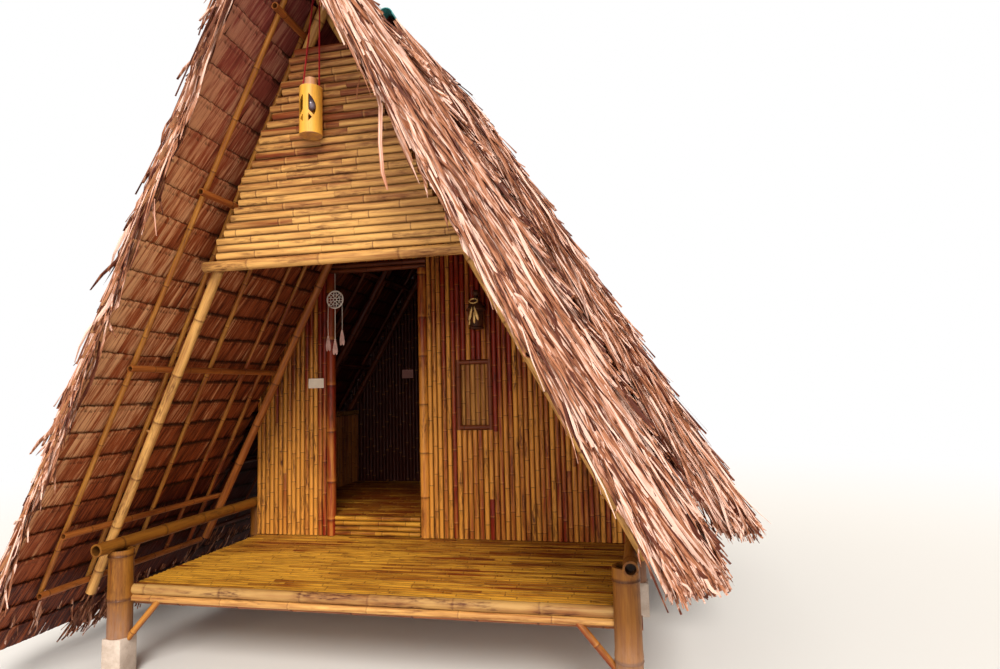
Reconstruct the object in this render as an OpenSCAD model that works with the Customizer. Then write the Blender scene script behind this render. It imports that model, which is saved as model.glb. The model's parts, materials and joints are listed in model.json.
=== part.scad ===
// A-frame bamboo hut on a raised deck, with an open porch in front of one room.
// Built in millimetres. X runs across the hut, Y from the porch to the rear, Z up from the ground.
// Hut coordinates have X = 0 on the ridge line and Y = 0 at the deck's front edge.

/* [Overall] */
// Height of the porch deck above the ground
deck_height = 500; // [420:10:600]
// Porch depth, from the deck's front edge to the front wall
porch_depth = 1250; // [1200:10:1300]
// Room depth, from the front wall's face to the rear wall's face
room_depth = 1780; // [1700:10:2200]
// Half of the front wall's width
wall_half_width = 1417; // [1400:1:1425]

/* [Porch roof] */
// Height of the porch rafters' crossing above the deck
porch_rise = 3090; // [3050:10:3110]
// Slope of the porch roof in degrees
porch_pitch = 61.8; // [61.5:0.1:62.5]
// Forward lean of the front rafters in degrees
front_lean = 5.65; // [3:0.05:7]
// Overhang of the thatch in front of the deck at deck height
porch_verge = 520; // [480:10:560]

/* [Main roof] */
// Height of the main rafters' crossing above the deck
main_rise = 3340; // [3320:10:3360]
// Slope of the main roof in degrees
main_pitch = 59.5; // [59.2:0.1:60]
// Distance of the main roof's front verge behind the deck's front edge
main_verge = 560; // [500:10:640]
// Overhang of the main roof behind the rear wall
rear_overhang = 380; // [300:10:500]

/* [Thatch] */
// Height of the left eave above the ground
left_eave = 250; // [200:10:350]
// Height of the right eave above the ground
right_eave = 700; // [600:10:800]
// Distance from the rafter axes to the thatch's inner face
thatch_inner = 96; // [95:1:100]
// Distance from the rafter axes to the porch thatch's outer face
porch_thatch_outer = 290; // [260:5:320]
// Distance from the rafter axes to the main thatch's outer face
main_thatch_outer = 275; // [260:5:320]
// Thickness of the porch thatch at its front verge
verge_nose = 40; // [20:5:80]
// Number of thatch courses from ridge to eave
thatch_courses = 12; // [8:1:20]
// How far each course stands proud of the one below
course_step = 46; // [10:1:60]

/* [Bamboo] */
// Diameter of the two front posts
front_post_d = 135; // [120:1:150]
// Diameter of the middle and rear posts
rear_post_d = 110; // [90:1:120]
// Diameter of the side rails
rail_d = 76; // [66:1:80]
// Diameter of the main rafters
rafter_d = 56; // [50:1:58]
// Diameter of the purlins
purlin_d = 38; // [30:1:40]
// Diameter of the thin rafters
thin_d = 28; // [22:1:30]
// Thickness of the floors and of the deck's half culms
floor_t = 18; // [14:1:24]
// Thickness of the walls
wall_t = 40; // [30:1:45]

/* [Doorway and window] */
// X of the doorway's left side
door_left = -753; // [-760:1:-700]
// Clear width of the doorway
door_width = 678; // [640:1:690]
// Clear height of the doorway
door_height = 1850; // [1800:5:1860]
// Height of the room floor above the porch deck
floor_step = 147.5; // [140:0.5:160]
// Width of the window with its frame
window_width = 274; // [250:1:300]
// Height of the window with its frame
window_height = 514; // [480:1:540]

/* [Hidden] */
$fn = 32;

// Colours
bamboo_gold = "#c99a3c";
bamboo_pale = "#dcb765";
bamboo_orange = "#a8662a";
bamboo_dark = "#6f3d1c";
thatch_tan = "#b98f6c";
concrete_grey = "#cfc4b4";

// Clearances: round a cope, between crossed rafters, behind the front wall and beside thin joints
cope_gap = 0.3;
crossing_gap = 2;
wall_gap = 2;
joint_gap = 1;

// A roof is the height of its rafters' crossing and its pitch
porch_roof = [deck_height + porch_rise, porch_pitch];
main_roof = [deck_height + main_rise, main_pitch];

// A thatch is its roof, its ridge's height, its outer face's distance from the rafter axes at the ridge
// and in full, and the part of the slope, counted from the ridge, over which it grows to full
porch_ridge_z = deck_height + 3450;
main_ridge_z = deck_height + 3545;
porch_ridge_outer = 175;
main_ridge_outer = 160;
porch_growth = 1 / 3;
main_growth = 1 / 5;
porch_cover = [porch_roof, porch_ridge_z, porch_ridge_outer, porch_thatch_outer, porch_growth];
main_cover = [main_roof, main_ridge_z, main_ridge_outer, main_thatch_outer, main_growth];
verge_gap = 32;

// The courses' steps reach their full height over this part of the slope
step_growth = 1 / 4;

// The porch thatch slants back from its verge, by this much for each millimetre of thickness
verge_slant = 1.25;
verge_nose_z = porch_roof[0] + (thatch_inner + verge_nose) / cos(porch_pitch);

// Heights that follow the rafters
rail_z = deck_height + 232;
rail_x = (porch_roof[0] - rail_z) / tan(porch_pitch) - (rafter_d + rail_d) / 2 / sin(porch_pitch);
floor_z = deck_height + floor_step;
door_top = floor_z + door_height;
purlin_offset = (rafter_d + purlin_d) / 2;
thin_offset = rafter_d / 2 + purlin_d + thin_d / 2;
cross_shift = rafter_d / 2 + crossing_gap;

// Positions along Y
front_post_y = -50;
front_frame_y = -23;
wall_y = porch_depth;
wall_back = wall_y + wall_t;
rear_wall_y = wall_y + room_depth;
rear_verge = rear_wall_y + wall_t + rear_overhang;
porch_thatch_end = 900;
middle_post_gap = 15;
rear_post_gap = 25;
middle_post_y = wall_back + rear_post_d / 2 + middle_post_gap;
rear_post_y = rear_wall_y - rear_post_d / 2 - rear_post_gap;
main_rafter_inset = 60;
main_rafter_ys = [
    wall_back + main_rafter_inset, (wall_back + rear_wall_y) / 2, rear_wall_y - main_rafter_inset
];
main_pole_front = porch_thatch_end + 30;
main_pole_rear = rear_verge - 50;

// Positions across X
front_post_x = 1430;
rear_post_clear = 3;
rear_post_x = wall_half_width + rear_post_clear + rear_post_d / 2;
post_foot_z = 223;
footing_side = 125;
door_right = door_left + door_width;
door_post_d = 70;
header_d = 38;
knee_t = 35;
knee_rail_d = 50;
knee_rail_x = wall_half_width - knee_t / 2;
knee_rail_w = -(rafter_d + knee_rail_d) / 2;
knee_rail_z = main_roof[0] + knee_rail_w / cos(main_pitch) - knee_rail_x * tan(main_pitch);

// The origin is at the middle of the whole hut, on the ground
eave_outer = main_thatch_outer + course_step / 2;
left_reach = face_x(main_roof, left_eave, eave_outer);
right_reach = face_x(main_roof, right_eave, eave_outer);
front_reach = -verge_y(verge_nose_z);
cap_end = rear_verge + 30;
centre = [(right_reach - left_reach) / 2, (cap_end - front_reach) / 2, 0];

// X at height z of the plane that lies w outside a roof's rafter axes
function face_x(roof, z, w) = (roof[0] + w / cos(roof[1]) - z) / tan(roof[1]);

// Point w outside the rafter axes, level with height z on those axes
function on_slope(roof, side, y, z, w = 0) = [
    side * ((roof[0] - z) / tan(roof[1]) + w * sin(roof[1])),
    y,
    z + w * cos(roof[1])
];

// Y of something that leans forward by the front lean, d millimetres behind the front frame
function leaned(z, d = 0) = front_frame_y + d - tan(front_lean) * (z - rail_z);

// Y of the porch thatch's front verge at height z
function verge_y(z) = -porch_verge - tan(front_lean) * (z - deck_height);

// Stepped outer face of a thatch, from the ridge down to the eave, shifted out by extra
function courses(cover, eave_z, step, extra = 0) = [
    for (i = [0 : thatch_courses - 1], low = [0, 1])
        let (
            t = (i + low) / thatch_courses,
            z = cover[1] + (eave_z - cover[1]) * t,
            w = cover[2] + (cover[3] - cover[2]) * min(1, t / cover[4])
        )
            [face_x(cover[0], z, w + extra + (low - 0.5) * step * min(1, t / step_growth)), z]
];

// Reverses a list of points
function reversed(pts) = [for (i = [len(pts) - 1 : -1 : 0]) pts[i]];

// A straight pole from one point to another
module pole(a, b, d) {
    v = b - a;
    translate(a)
        rotate([0, acos(v[2] / norm(v)), atan2(v[1], v[0])])
            cylinder(d = d, h = norm(v));
}

// Places hut coordinates in the part's frame
module hut() {
    translate(-centre)
        children();
}

// Repeats on the left and the right side
module both_sides() {
    children();
    mirror([1, 0, 0])
        children();
}

// The child is drawn on the right side, and mirrored for the left one
module on_side(side) {
    if (side > 0)
        children();
    else
        mirror([1, 0, 0])
            children();
}

// Extrudes an XZ outline along Y
module slab_y(y0, y1, pts) {
    translate([0, y1, 0])
        rotate([90, 0, 0])
            linear_extrude(y1 - y0)
                polygon(pts);
}

// Extrudes a YZ outline along X
module slab_x(x0, x1, pts) {
    translate([x0, 0, 0])
        rotate([90, 0, 90])
            linear_extrude(x1 - x0)
                polygon(pts);
}

// Everything on the normal's side of the plane through a point
module beyond(point, normal) {
    reach = 6000;
    translate(point)
        rotate([0, acos(normal[2] / norm(normal)), atan2(normal[1], normal[0])])
            translate([-reach, -reach, 0])
                cube([2 * reach, 2 * reach, reach]);
}

// One straight rafter, whose top passes the crossing by past
module rafter(roof, side, foot_z, foot_y, top_y, d, past) {
    foot = on_slope(roof, side, foot_y, foot_z);
    top = on_slope(roof, side, top_y, roof[0] + past * sin(roof[1]));
    pole(foot, top, d);
}

module footing(x, y) {
    translate([x - footing_side / 2, y - footing_side / 2, 0])
        cube([footing_side, footing_side, post_foot_z]);
}

module footings() {
    color(concrete_grey)
        both_sides() {
            footing(front_post_x, front_post_y);
            footing(rear_post_x, middle_post_y);
            footing(rear_post_x, rear_post_y);
        }
}

// How far the posts' tops lie below the side rails' axes
front_saddle = 26;
rear_saddle = 10;

// A post with a saddle that takes the side rail
module saddled_post(x, y, d, top_z) {
    difference() {
        translate([x, y, post_foot_z])
            cylinder(d = d, h = top_z - post_foot_z);
        pole([rail_x, y - d, rail_z], [rail_x, y + d, rail_z], rail_d + 2 * cope_gap);
    }
}

module front_posts() {
    color(bamboo_gold)
        both_sides()
            saddled_post(front_post_x, front_post_y, front_post_d, rail_z - front_saddle);
}

module middle_posts() {
    color(bamboo_gold)
        both_sides()
            saddled_post(rear_post_x, middle_post_y, rear_post_d, rail_z - rear_saddle);
}

module rear_posts() {
    color(bamboo_gold)
        both_sides()
            saddled_post(rear_post_x, rear_post_y, rear_post_d, rail_z - rear_saddle);
}

// Deck edge poles, used by the nodes and by the copes of the braces
edge_upper_d = 56;
edge_lower_d = 38;
edge_upper_z = deck_height - 23;
edge_lower_z = edge_upper_z - (edge_upper_d + edge_lower_d) / 2;
edge_upper_y = -20;
edge_lower_y = -30;

module edge_pole(y, z, d) {
    difference() {
        pole([-front_post_x, y, z], [front_post_x, y, z], d);
        both_sides()
            translate([front_post_x, front_post_y, z - d])
                cylinder(d = front_post_d + 2 * cope_gap, h = 2 * d);
    }
}

module deck_edge_upper() {
    color(bamboo_pale)
        edge_pole(edge_upper_y, edge_upper_z, edge_upper_d);
}

module deck_edge_lower() {
    color(bamboo_pale)
        edge_pole(edge_lower_y, edge_lower_z, edge_lower_d);
}

brace_d = 36;
brace_top_x = 1184;
brace_drop = 280;
brace_cope = 100;

module deck_braces() {
    color(bamboo_gold)
        both_sides()
            difference() {
                pole(
                    [brace_top_x, edge_lower_y, edge_lower_z],
                    [front_post_x, front_post_y, edge_lower_z - brace_drop],
                    brace_d
                );
                pole(
                    [brace_top_x - brace_cope, edge_lower_y, edge_lower_z],
                    [brace_top_x + brace_cope, edge_lower_y, edge_lower_z],
                    edge_lower_d + 2 * cope_gap
                );
                translate([front_post_x, front_post_y, 0])
                    cylinder(d = front_post_d + 2 * cope_gap, h = deck_height);
                translate([front_post_x - footing_side / 2, front_post_y - footing_side / 2, 0])
                    cube([footing_side, footing_side, post_foot_z + cope_gap]);
            }
}

// Open front end of a side rail, as far as the first node of the culm
rail_bore_d = 56;
rail_bore_depth = 180;
rail_front_y = -200;
rail_rear_past = 140;
rail_rear_y = rear_wall_y + rail_rear_past;

module side_rails() {
    color(bamboo_gold)
        both_sides()
            difference() {
                pole([rail_x, rail_front_y, rail_z], [rail_x, rail_rear_y, rail_z], rail_d);
                translate([rail_x, rail_front_y, rail_z])
                    rotate([90, 0, 0])
                        cylinder(d = rail_bore_d, h = 2 * rail_bore_depth, center = true);
            }
}

joist_d = 40;
room_joist_d = 50;
porch_bearer_d = 70;
room_bearer_d = 80;
bearer_reach = 1500;
porch_bearer_z = deck_height - floor_t - joist_d - porch_bearer_d / 2;
room_joist_z = floor_z - floor_t - room_joist_d / 2;
room_bearer_z = room_joist_z - (room_joist_d + room_bearer_d) / 2;
front_bearer_y = front_post_y + (front_post_d + porch_bearer_d) / 2;
middle_bearer_y = middle_post_y - (rear_post_d + porch_bearer_d) / 2;
room_front_bearer_y = middle_post_y + (rear_post_d + room_bearer_d) / 2;
room_rear_bearer_y = rear_post_y - (rear_post_d + room_bearer_d) / 2;

module cross_pole(y, z, d) {
    pole([-bearer_reach, y, z], [bearer_reach, y, z], d);
}

module floor_bearers() {
    color(bamboo_orange) {
        cross_pole(front_bearer_y, porch_bearer_z, porch_bearer_d);
        cross_pole(middle_bearer_y, porch_bearer_z, porch_bearer_d);
        cross_pole(room_front_bearer_y, room_bearer_z, room_bearer_d);
        cross_pole(room_rear_bearer_y, room_bearer_z, room_bearer_d);
    }
}

deck_front_y = 12;
joist_spacing = 640;
porch_joist_past = 30;
room_joist_gap = 4;

module floor_joists() {
    color(bamboo_orange)
        for (i = [-2 : 2]) {
            x = i * joist_spacing;
            z = deck_height - floor_t - joist_d / 2;
            pole([x, deck_front_y, z], [x, middle_bearer_y + porch_joist_past, z], joist_d);
            pole(
                [x, wall_back + room_joist_gap, room_joist_z],
                [x, rear_wall_y - room_joist_gap, room_joist_z],
                room_joist_d
            );
        }
}

deck_half_width = 1400;

module porch_deck() {
    color(bamboo_gold)
        translate([-deck_half_width, deck_front_y, deck_height - floor_t])
            cube([2 * deck_half_width, wall_back - deck_front_y, floor_t]);
}

module room_floor() {
    color(bamboo_gold)
        translate([-wall_half_width, wall_back + wall_gap, floor_z - floor_t])
            cube([2 * wall_half_width, room_depth - wall_t - wall_gap, floor_t]);
}

module door_step() {
    color(bamboo_gold)
        translate([door_left, wall_y, deck_height])
            cube([door_width, wall_t + wall_gap, floor_step]);
}

// The left front rafter passes the deck, the right one ends on the side rail
left_foot_z = deck_height - 63;
right_foot_z = deck_height + 240;
porch_rafter_past = 96;

module front_left_rafter() {
    color(bamboo_pale)
        rafter(porch_roof, -1, left_foot_z, leaned(left_foot_z), leaned(porch_roof[0]) - cross_shift,
            rafter_d, porch_rafter_past);
}

module front_right_rafter() {
    color(bamboo_pale)
        rafter(porch_roof, 1, right_foot_z, leaned(right_foot_z), leaned(porch_roof[0]) + cross_shift,
            rafter_d, porch_rafter_past);
}

inner_foot_y = 955;
inner_top_y = 810;
inner_left_foot_z = deck_height + 40;
inner_right_foot_z = deck_height + 140;

module inner_rafters() {
    color(bamboo_orange) {
        rafter(porch_roof, -1, inner_left_foot_z, inner_foot_y, inner_top_y - cross_shift, rafter_d,
            porch_rafter_past);
        rafter(porch_roof, 1, inner_right_foot_z, inner_foot_y, inner_top_y + cross_shift, rafter_d,
            porch_rafter_past);
    }
}

// Each thin rafter is its Y at deck height and how far its top leans forward
thin_rafters = [[-280, 238], [28, 324], [358, 290], [665, 190], [895, 280]];
porch_purlin_zs = [490, 820, 1705, 2580, 3440];
main_purlin_zs = [440, 1000, 1800, 2600, 3440];

// The porch purlins start a little in front of the foremost thin rafter, which leans forward
purlin_past = 34;
purlin_lean = 0.095;
purlin_rear_past = 30;

// A thin rafter over the purlins, from foot_z up to the rafters' crossing
module thin_rafter(roof, side, foot_z, deck_y, lean) {
    fall = (foot_z - deck_height) / (roof[0] - deck_height);
    pole(
        on_slope(roof, side, deck_y - lean * fall, foot_z, thin_offset),
        on_slope(roof, side, deck_y - lean, roof[0], thin_offset),
        thin_d
    );
}

// Heights of the porch's thin rafters' feet, left and right
porch_thin_feet = [deck_height - 35, right_eave + 60];

module porch_thin_rafters() {
    color(bamboo_gold)
        for (r = thin_rafters) {
            thin_rafter(porch_roof, -1, porch_thin_feet[0], r[0], r[1]);
            thin_rafter(porch_roof, 1, porch_thin_feet[1], r[0], r[1]);
        }
}

module porch_purlins() {
    color(bamboo_orange)
        for (z = porch_purlin_zs, side = [-1, 1]) {
            front_y = thin_rafters[0][0] - purlin_past - purlin_lean * (z - deck_height);
            if (side < 0 || z > right_eave)
                pole(
                    on_slope(porch_roof, side, front_y, z, purlin_offset),
                    on_slope(porch_roof, side, inner_foot_y + purlin_rear_past, z, purlin_offset),
                    purlin_d
                );
        }
}

// The gable's beam and culms lie on the front of the leaning rafters
gable_beam_d = 60;
gable_beam_h = 1556;
gable_beam_ends = [-750, 730];
gable_beam_inset = 12;
gable_top_h = 2651;
screen_t = 40;
screen_past = 29;
screen_back = -cross_shift - rafter_d / 2 - joint_gap / 2;

module leaning_frame() {
    translate([0, front_frame_y, rail_z])
        rotate([front_lean, 0, 0])
            children();
}

// Half the width between the rafters' axes at height h of the leaning frame
function frame_half(h) = (porch_roof[0] - rail_z - h * cos(front_lean)) / tan(porch_pitch);

module gable_beam() {
    y = screen_back - gable_beam_d / 2 + gable_beam_inset;
    color(bamboo_pale)
        leaning_frame()
            pole(
                [gable_beam_ends[0], y, gable_beam_h],
                [gable_beam_ends[1], y, gable_beam_h],
                gable_beam_d
            );
}

module gable_screen() {
    low = gable_beam_h + gable_beam_d / 2 + joint_gap;
    low_x = frame_half(low) + screen_past;
    top_x = frame_half(gable_top_h) + screen_past;
    color(bamboo_gold)
        leaning_frame()
            slab_y(screen_back - screen_t, screen_back,
                [[-low_x, low], [low_x, low], [top_x, gable_top_h], [-top_x, gable_top_h]]);
}

ridge_pole_d = 50;
ridge_rise = (rafter_d + ridge_pole_d) / 2;
porch_pole_z = porch_roof[0] + ridge_rise / cos(porch_pitch);
main_pole_z = main_roof[0] + ridge_rise / cos(main_pitch);
porch_pole_front = -620;
porch_pole_rear = porch_thatch_end + 85;

module ridge_poles() {
    color(bamboo_orange) {
        pole([0, porch_pole_front, porch_pole_z], [0, porch_pole_rear, porch_pole_z], ridge_pole_d);
        pole([0, main_pole_front, main_pole_z], [0, main_pole_rear, main_pole_z], ridge_pole_d);
    }
}

// Distance of the walls' tops from the rafter axes, close under the thatch
wall_top_w = thatch_inner - 6;

// Height of the walls' sloping top at x
function wall_top(x) = main_roof[0] + wall_top_w / cos(main_pitch) - abs(x) * tan(main_pitch);

header_top = door_top + 2 * header_d + joint_gap;
wall_edge = door_left - door_post_d;
wall_split = door_right + door_post_d;

// The walls' tops are level under the ridge pole, as far as the slope
wall_peak = main_pole_z - ridge_pole_d / 2 - cope_gap;
peak_half = (wall_top(0) - wall_peak) / tan(main_pitch);

// The walls are coped to the main purlins that cross them
module purlin_copes() {
    for (z = main_purlin_zs, side = [-1, 1])
        pole(
            on_slope(main_roof, side, wall_y - wall_t, z, purlin_offset),
            on_slope(main_roof, side, rear_wall_y + 2 * wall_t, z, purlin_offset),
            purlin_d + 2 * cope_gap
        );
}

module front_wall_left() {
    color(bamboo_gold)
        difference() {
            slab_y(wall_y, wall_back, [
                [-wall_half_width, deck_height], [wall_edge, deck_height],
                [wall_edge, wall_top(wall_edge)], [-wall_half_width, wall_top(wall_half_width)]
            ]);
            purlin_copes();
        }
}

window_x = 214.5;
window_z = deck_height + 776.5;

module front_wall_right() {
    color(bamboo_gold)
        difference() {
            slab_y(wall_y, wall_back, [
                [wall_split, deck_height], [wall_half_width, deck_height],
                [wall_half_width, wall_top(wall_half_width)], [peak_half, wall_peak],
                [wall_split, wall_peak]
            ]);
            translate([window_x, wall_y - wall_t, window_z])
                cube([window_width, 3 * wall_t, window_height]);
            purlin_copes();
        }
}

module front_wall_head() {
    color(bamboo_orange)
        difference() {
            slab_y(wall_y, wall_back, [
                [wall_edge, header_top], [wall_split, header_top], [wall_split, wall_peak],
                [-peak_half, wall_peak], [wall_edge, wall_top(wall_edge)]
            ]);
            purlin_copes();
        }
}

module door_posts() {
    color(bamboo_orange)
        for (x = [wall_edge + door_post_d / 2, wall_split - door_post_d / 2])
            translate([x, wall_y + wall_t / 2, deck_height])
                cylinder(d = door_post_d, h = door_top - deck_height);
}

// The header's two poles lie over the door posts, between the walls on both sides
module door_header() {
    y = wall_y + wall_t / 2;
    color(bamboo_dark)
        for (z = [door_top + header_d / 2, door_top + (3 * header_d + joint_gap) / 2])
            pole([wall_edge + joint_gap, y, z], [wall_split - joint_gap, y, z], header_d);
}

window_pole_d = 36;

module window_frame() {
    low = window_z + window_pole_d / 2;
    high = window_z + window_height - window_pole_d / 2;
    left = window_x + window_pole_d / 2;
    right = window_x + window_width - window_pole_d / 2;
    y = wall_y + window_pole_d / 2;
    color(bamboo_dark) {
        pole([left, y, window_z], [left, y, window_z + window_height], window_pole_d);
        pole([right, y, window_z], [right, y, window_z + window_height], window_pole_d);
        pole([left, y, low], [right, y, low], window_pole_d);
        pole([left, y, high], [right, y, high], window_pole_d);
    }
}

shutter_lap = 14;
shutter_t = 22;

module window_shutter() {
    color(bamboo_orange)
        translate([window_x - shutter_lap, wall_back, window_z - shutter_lap])
            cube([window_width + 2 * shutter_lap, shutter_t, window_height + 2 * shutter_lap]);
}

module knee_wall(side) {
    color(bamboo_orange)
        on_side(side)
            translate([wall_half_width - knee_t, wall_back + wall_gap, floor_z])
                cube([knee_t, room_depth - wall_t - wall_gap, knee_rail_z - knee_rail_d / 2 - floor_z]);
}

module left_knee_wall() {
    knee_wall(-1);
}

module right_knee_wall() {
    knee_wall(1);
}

module knee_rails() {
    color(bamboo_pale)
        both_sides()
            pole(
                [knee_rail_x, wall_back + wall_gap, knee_rail_z],
                [knee_rail_x, rear_wall_y, knee_rail_z],
                knee_rail_d
            );
}

// Over the side rails the rear wall widens to the thatch, and closes the space under the eaves
wing_foot = rail_z + rail_d / 2 + wall_gap;
wing_half = (wall_top(0) - wing_foot) / tan(main_pitch);

module rear_wall() {
    color(bamboo_dark)
        difference() {
            slab_y(rear_wall_y, rear_wall_y + wall_t, [
                [-wall_half_width, deck_height], [wall_half_width, deck_height],
                [wall_half_width, wing_foot], [wing_half, wing_foot],
                [peak_half, wall_peak], [-peak_half, wall_peak],
                [-wing_half, wing_foot], [-wall_half_width, wing_foot]
            ]);
            purlin_copes();
        }
}

main_rafter_past = 90;

// Heights of the main rafters' feet, and of the main thin rafters' feet, left and right
main_rafter_feet = [left_eave + 180, right_eave + 150];
main_thin_feet = [left_eave + 120, right_eave + 90];

module main_rafters() {
    color(bamboo_orange)
        for (y = main_rafter_ys) {
            rafter(main_roof, -1, main_rafter_feet[0], y, y - cross_shift, rafter_d, main_rafter_past);
            rafter(main_roof, 1, main_rafter_feet[1], y, y + cross_shift, rafter_d, main_rafter_past);
        }
}

module main_purlins() {
    color(bamboo_orange)
        for (z = main_purlin_zs, side = [-1, 1])
            if (side < 0 || z > right_eave)
                pole(
                    on_slope(main_roof, side, main_pole_front, z, purlin_offset),
                    on_slope(main_roof, side, main_pole_rear, z, purlin_offset),
                    purlin_d
                );
}

main_thin_count = 6;
main_thin_front = porch_thatch_end + 120;
main_thin_rear = rear_verge - 110;

module main_thin_rafters() {
    pitch = (main_thin_rear - main_thin_front) / (main_thin_count - 1);
    color(bamboo_gold)
        for (i = [0 : main_thin_count - 1]) {
            thin_rafter(main_roof, -1, main_thin_feet[0], main_thin_front + i * pitch, 0);
            thin_rafter(main_roof, 1, main_thin_feet[1], main_thin_front + i * pitch, 0);
        }
}

// Solid under the thatch's outer face, between the ridge and the eave
module thatch_body(cover, eave_z, y0, y1) {
    roof = cover[0];
    slab_y(y0, y1, concat(
        [[0, roof[0] + thatch_inner / cos(roof[1])], [0, cover[1]]],
        courses(cover, eave_z, course_step),
        [[face_x(roof, eave_z, thatch_inner), eave_z]]
    ));
}

// The front verge leans forward with the rafters, and the thatch thickens behind it
module porch_thatch(side, eave_z) {
    reach = 3000;
    color(thatch_tan)
        on_side(side)
            intersection() {
                thatch_body(porch_cover, eave_z, verge_y(porch_ridge_z), porch_thatch_end);
                slab_x(0, reach, [
                    [verge_y(eave_z), eave_z], [porch_thatch_end, eave_z],
                    [porch_thatch_end, porch_ridge_z], [verge_y(porch_ridge_z), porch_ridge_z]
                ]);
                beyond([0, -front_reach, verge_nose_z], [
                    -verge_slant * sin(porch_pitch), 1, tan(front_lean) - verge_slant * cos(porch_pitch)
                ]);
            }
}

module porch_thatch_left() {
    porch_thatch(-1, left_eave);
}

module porch_thatch_right() {
    porch_thatch(1, right_eave);
}

// The main thatch laps over the porch thatch in front, with a gap under its verge
module main_thatch(side, eave_z) {
    lap_inner = courses(porch_cover, eave_z, 0, verge_gap + course_step / 2);
    lap_outer = courses(main_cover, eave_z, course_step);
    color(thatch_tan)
        on_side(side) {
            thatch_body(main_cover, eave_z, porch_thatch_end, rear_verge);
            slab_y(main_verge, porch_thatch_end, concat(
                [[0, porch_ridge_z + verge_gap], [0, main_ridge_z]], lap_outer, reversed(lap_inner)
            ));
        }
}

module main_thatch_left() {
    main_thatch(-1, left_eave);
}

module main_thatch_right() {
    main_thatch(1, right_eave);
}

cap_d = 110;
cap_t = 5;
cap_start = main_verge - 60;

module ridge_cap() {
    color("#2f8f96")
        translate([0, cap_end, main_ridge_z])
            rotate([90, 0, 0])
                linear_extrude(cap_end - cap_start)
                    difference() {
                        circle(d = cap_d);
                        circle(d = cap_d - 2 * cap_t);
                        translate([-cap_d, -cap_d])
                            square([2 * cap_d, cap_d]);
                    }
}

lantern_at = [-36, -400, deck_height + 2373];
lantern_d = 114;
lantern_h = 250;
lantern_cap_d = 62;
lantern_cap_h = 48;
lantern_wall = 7;
lantern_end_t = 12;
opening_w = 92;
opening_h = 166;
opening_z = 45;
midrib_w = 28;
side_rib_w = 13;
side_rib_z = 80;
side_rib_angle = 140;

// Leaf outline between two arcs, standing on its lower tip
module leaf_outline(w, h) {
    r = (h * h + w * w) / (4 * w);
    intersection() {
        translate([r - w / 2, h / 2])
            circle(r = r, $fn = 64);
        translate([w / 2 - r, h / 2])
            circle(r = r, $fn = 64);
    }
}

// Leaf-shaped opening between a midrib and two side ribs
module ribbed_opening() {
    difference() {
        leaf_outline(opening_w, opening_h);
        translate([-midrib_w / 2, 0])
            square([midrib_w, opening_h]);
        for (side = [-1, 1])
            translate([0, side_rib_z])
                rotate(side * side_rib_angle)
                    translate([-side_rib_w / 2, 0])
                        square([side_rib_w, opening_w]);
    }
}

// The bamboo lantern is open at the front and at the back
module lantern_body() {
    color(bamboo_pale)
        translate(lantern_at)
            difference() {
                union() {
                    cylinder(d = lantern_d, h = lantern_h);
                    translate([0, 0, lantern_h])
                        cylinder(d = lantern_cap_d, h = lantern_cap_h);
                }
                translate([0, 0, lantern_end_t])
                    cylinder(d = lantern_d - 2 * lantern_wall, h = lantern_h - 2 * lantern_end_t);
                translate([0, 0, opening_z])
                    rotate([90, 0, 0])
                        linear_extrude(2 * lantern_d, center = true)
                            ribbed_opening();
            }
}

cord_d = 4;
cord_foot_x = 46;
cord_top_x = 14;

module lantern_cords() {
    foot_z = lantern_at[2] + lantern_h;
    top_z = porch_pole_z - ridge_pole_d / 2;
    color("#a51d22")
        for (side = [-1, 1], y = [lantern_at[1] - cord_d, lantern_at[1] + cord_d])
            pole([lantern_at[0] + side * cord_foot_x, y, foot_z], [side * cord_top_x, y, top_z], cord_d);
}

// The wall lantern is turned from this half outline, under a round knob, and held by a short arm
lantern_gap = 80;
wall_lantern_at = [405, wall_y - lantern_gap, deck_height + 1505];
wall_lantern_outline = [
    [0, 0], [50, 0], [54, 10], [46, 16], [52, 130], [72, 136], [74, 144], [36, 196], [30, 222], [12, 228],
    [12, 246], [0, 246]
];
knob_d = 50;
knob_z = 262;
lantern_arm = [28, 24];
lantern_arm_z = 156;

module wall_lantern() {
    color("#3a2a20")
        translate(wall_lantern_at) {
            rotate_extrude()
                polygon(wall_lantern_outline);
            translate([0, 0, knob_z])
                sphere(d = knob_d);
            translate([-lantern_arm[0] / 2, 0, lantern_arm_z])
                cube([lantern_arm[0], lantern_gap, lantern_arm[1]]);
        }
}

catcher_at = [-737, wall_y - 14, deck_height + 1791];
catcher_r = 66;
catcher_ring_d = 8;
catcher_thread = 4;
feather_w = 24;
feather_h = 120;
feather_t = 2;
feather_lap = 20;
thread_lap = 6;

// Each tail is its X, its length and where it starts below the ring's centre
catcher_tails = [[-58, 300, 30], [0, 330, 62], [58, 260, 30]];

module dream_catcher() {
    color("#e8dcc8")
        translate(catcher_at) {
            rotate([90, 0, 0])
                rotate_extrude()
                    translate([catcher_r, 0])
                        circle(d = catcher_ring_d);
            cylinder(d = catcher_thread, h = door_top - catcher_at[2]);
            for (tail = catcher_tails)
                translate([tail[0], 0, -tail[1]]) {
                    cylinder(d = catcher_thread, h = tail[1] - tail[2] + thread_lap);
                    translate([0, feather_t / 2, feather_lap - feather_h])
                        rotate([90, 0, 0])
                            linear_extrude(feather_t)
                                leaf_outline(feather_w, feather_h);
                }
        }
}

// The number plate by the doorway and the switch plate on the rear wall, each its corner and size
number_plate = [[-968, wall_y - 4, deck_height + 1112], [127, 4, 74]];
switch_plate = [[-884, rear_wall_y - 8, deck_height + 1203], [121, 8, 88]];

module wall_plates() {
    color("white")
        for (plate = [number_plate, switch_plate])
            translate(plate[0])
                cube(plate[1]);
}

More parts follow.
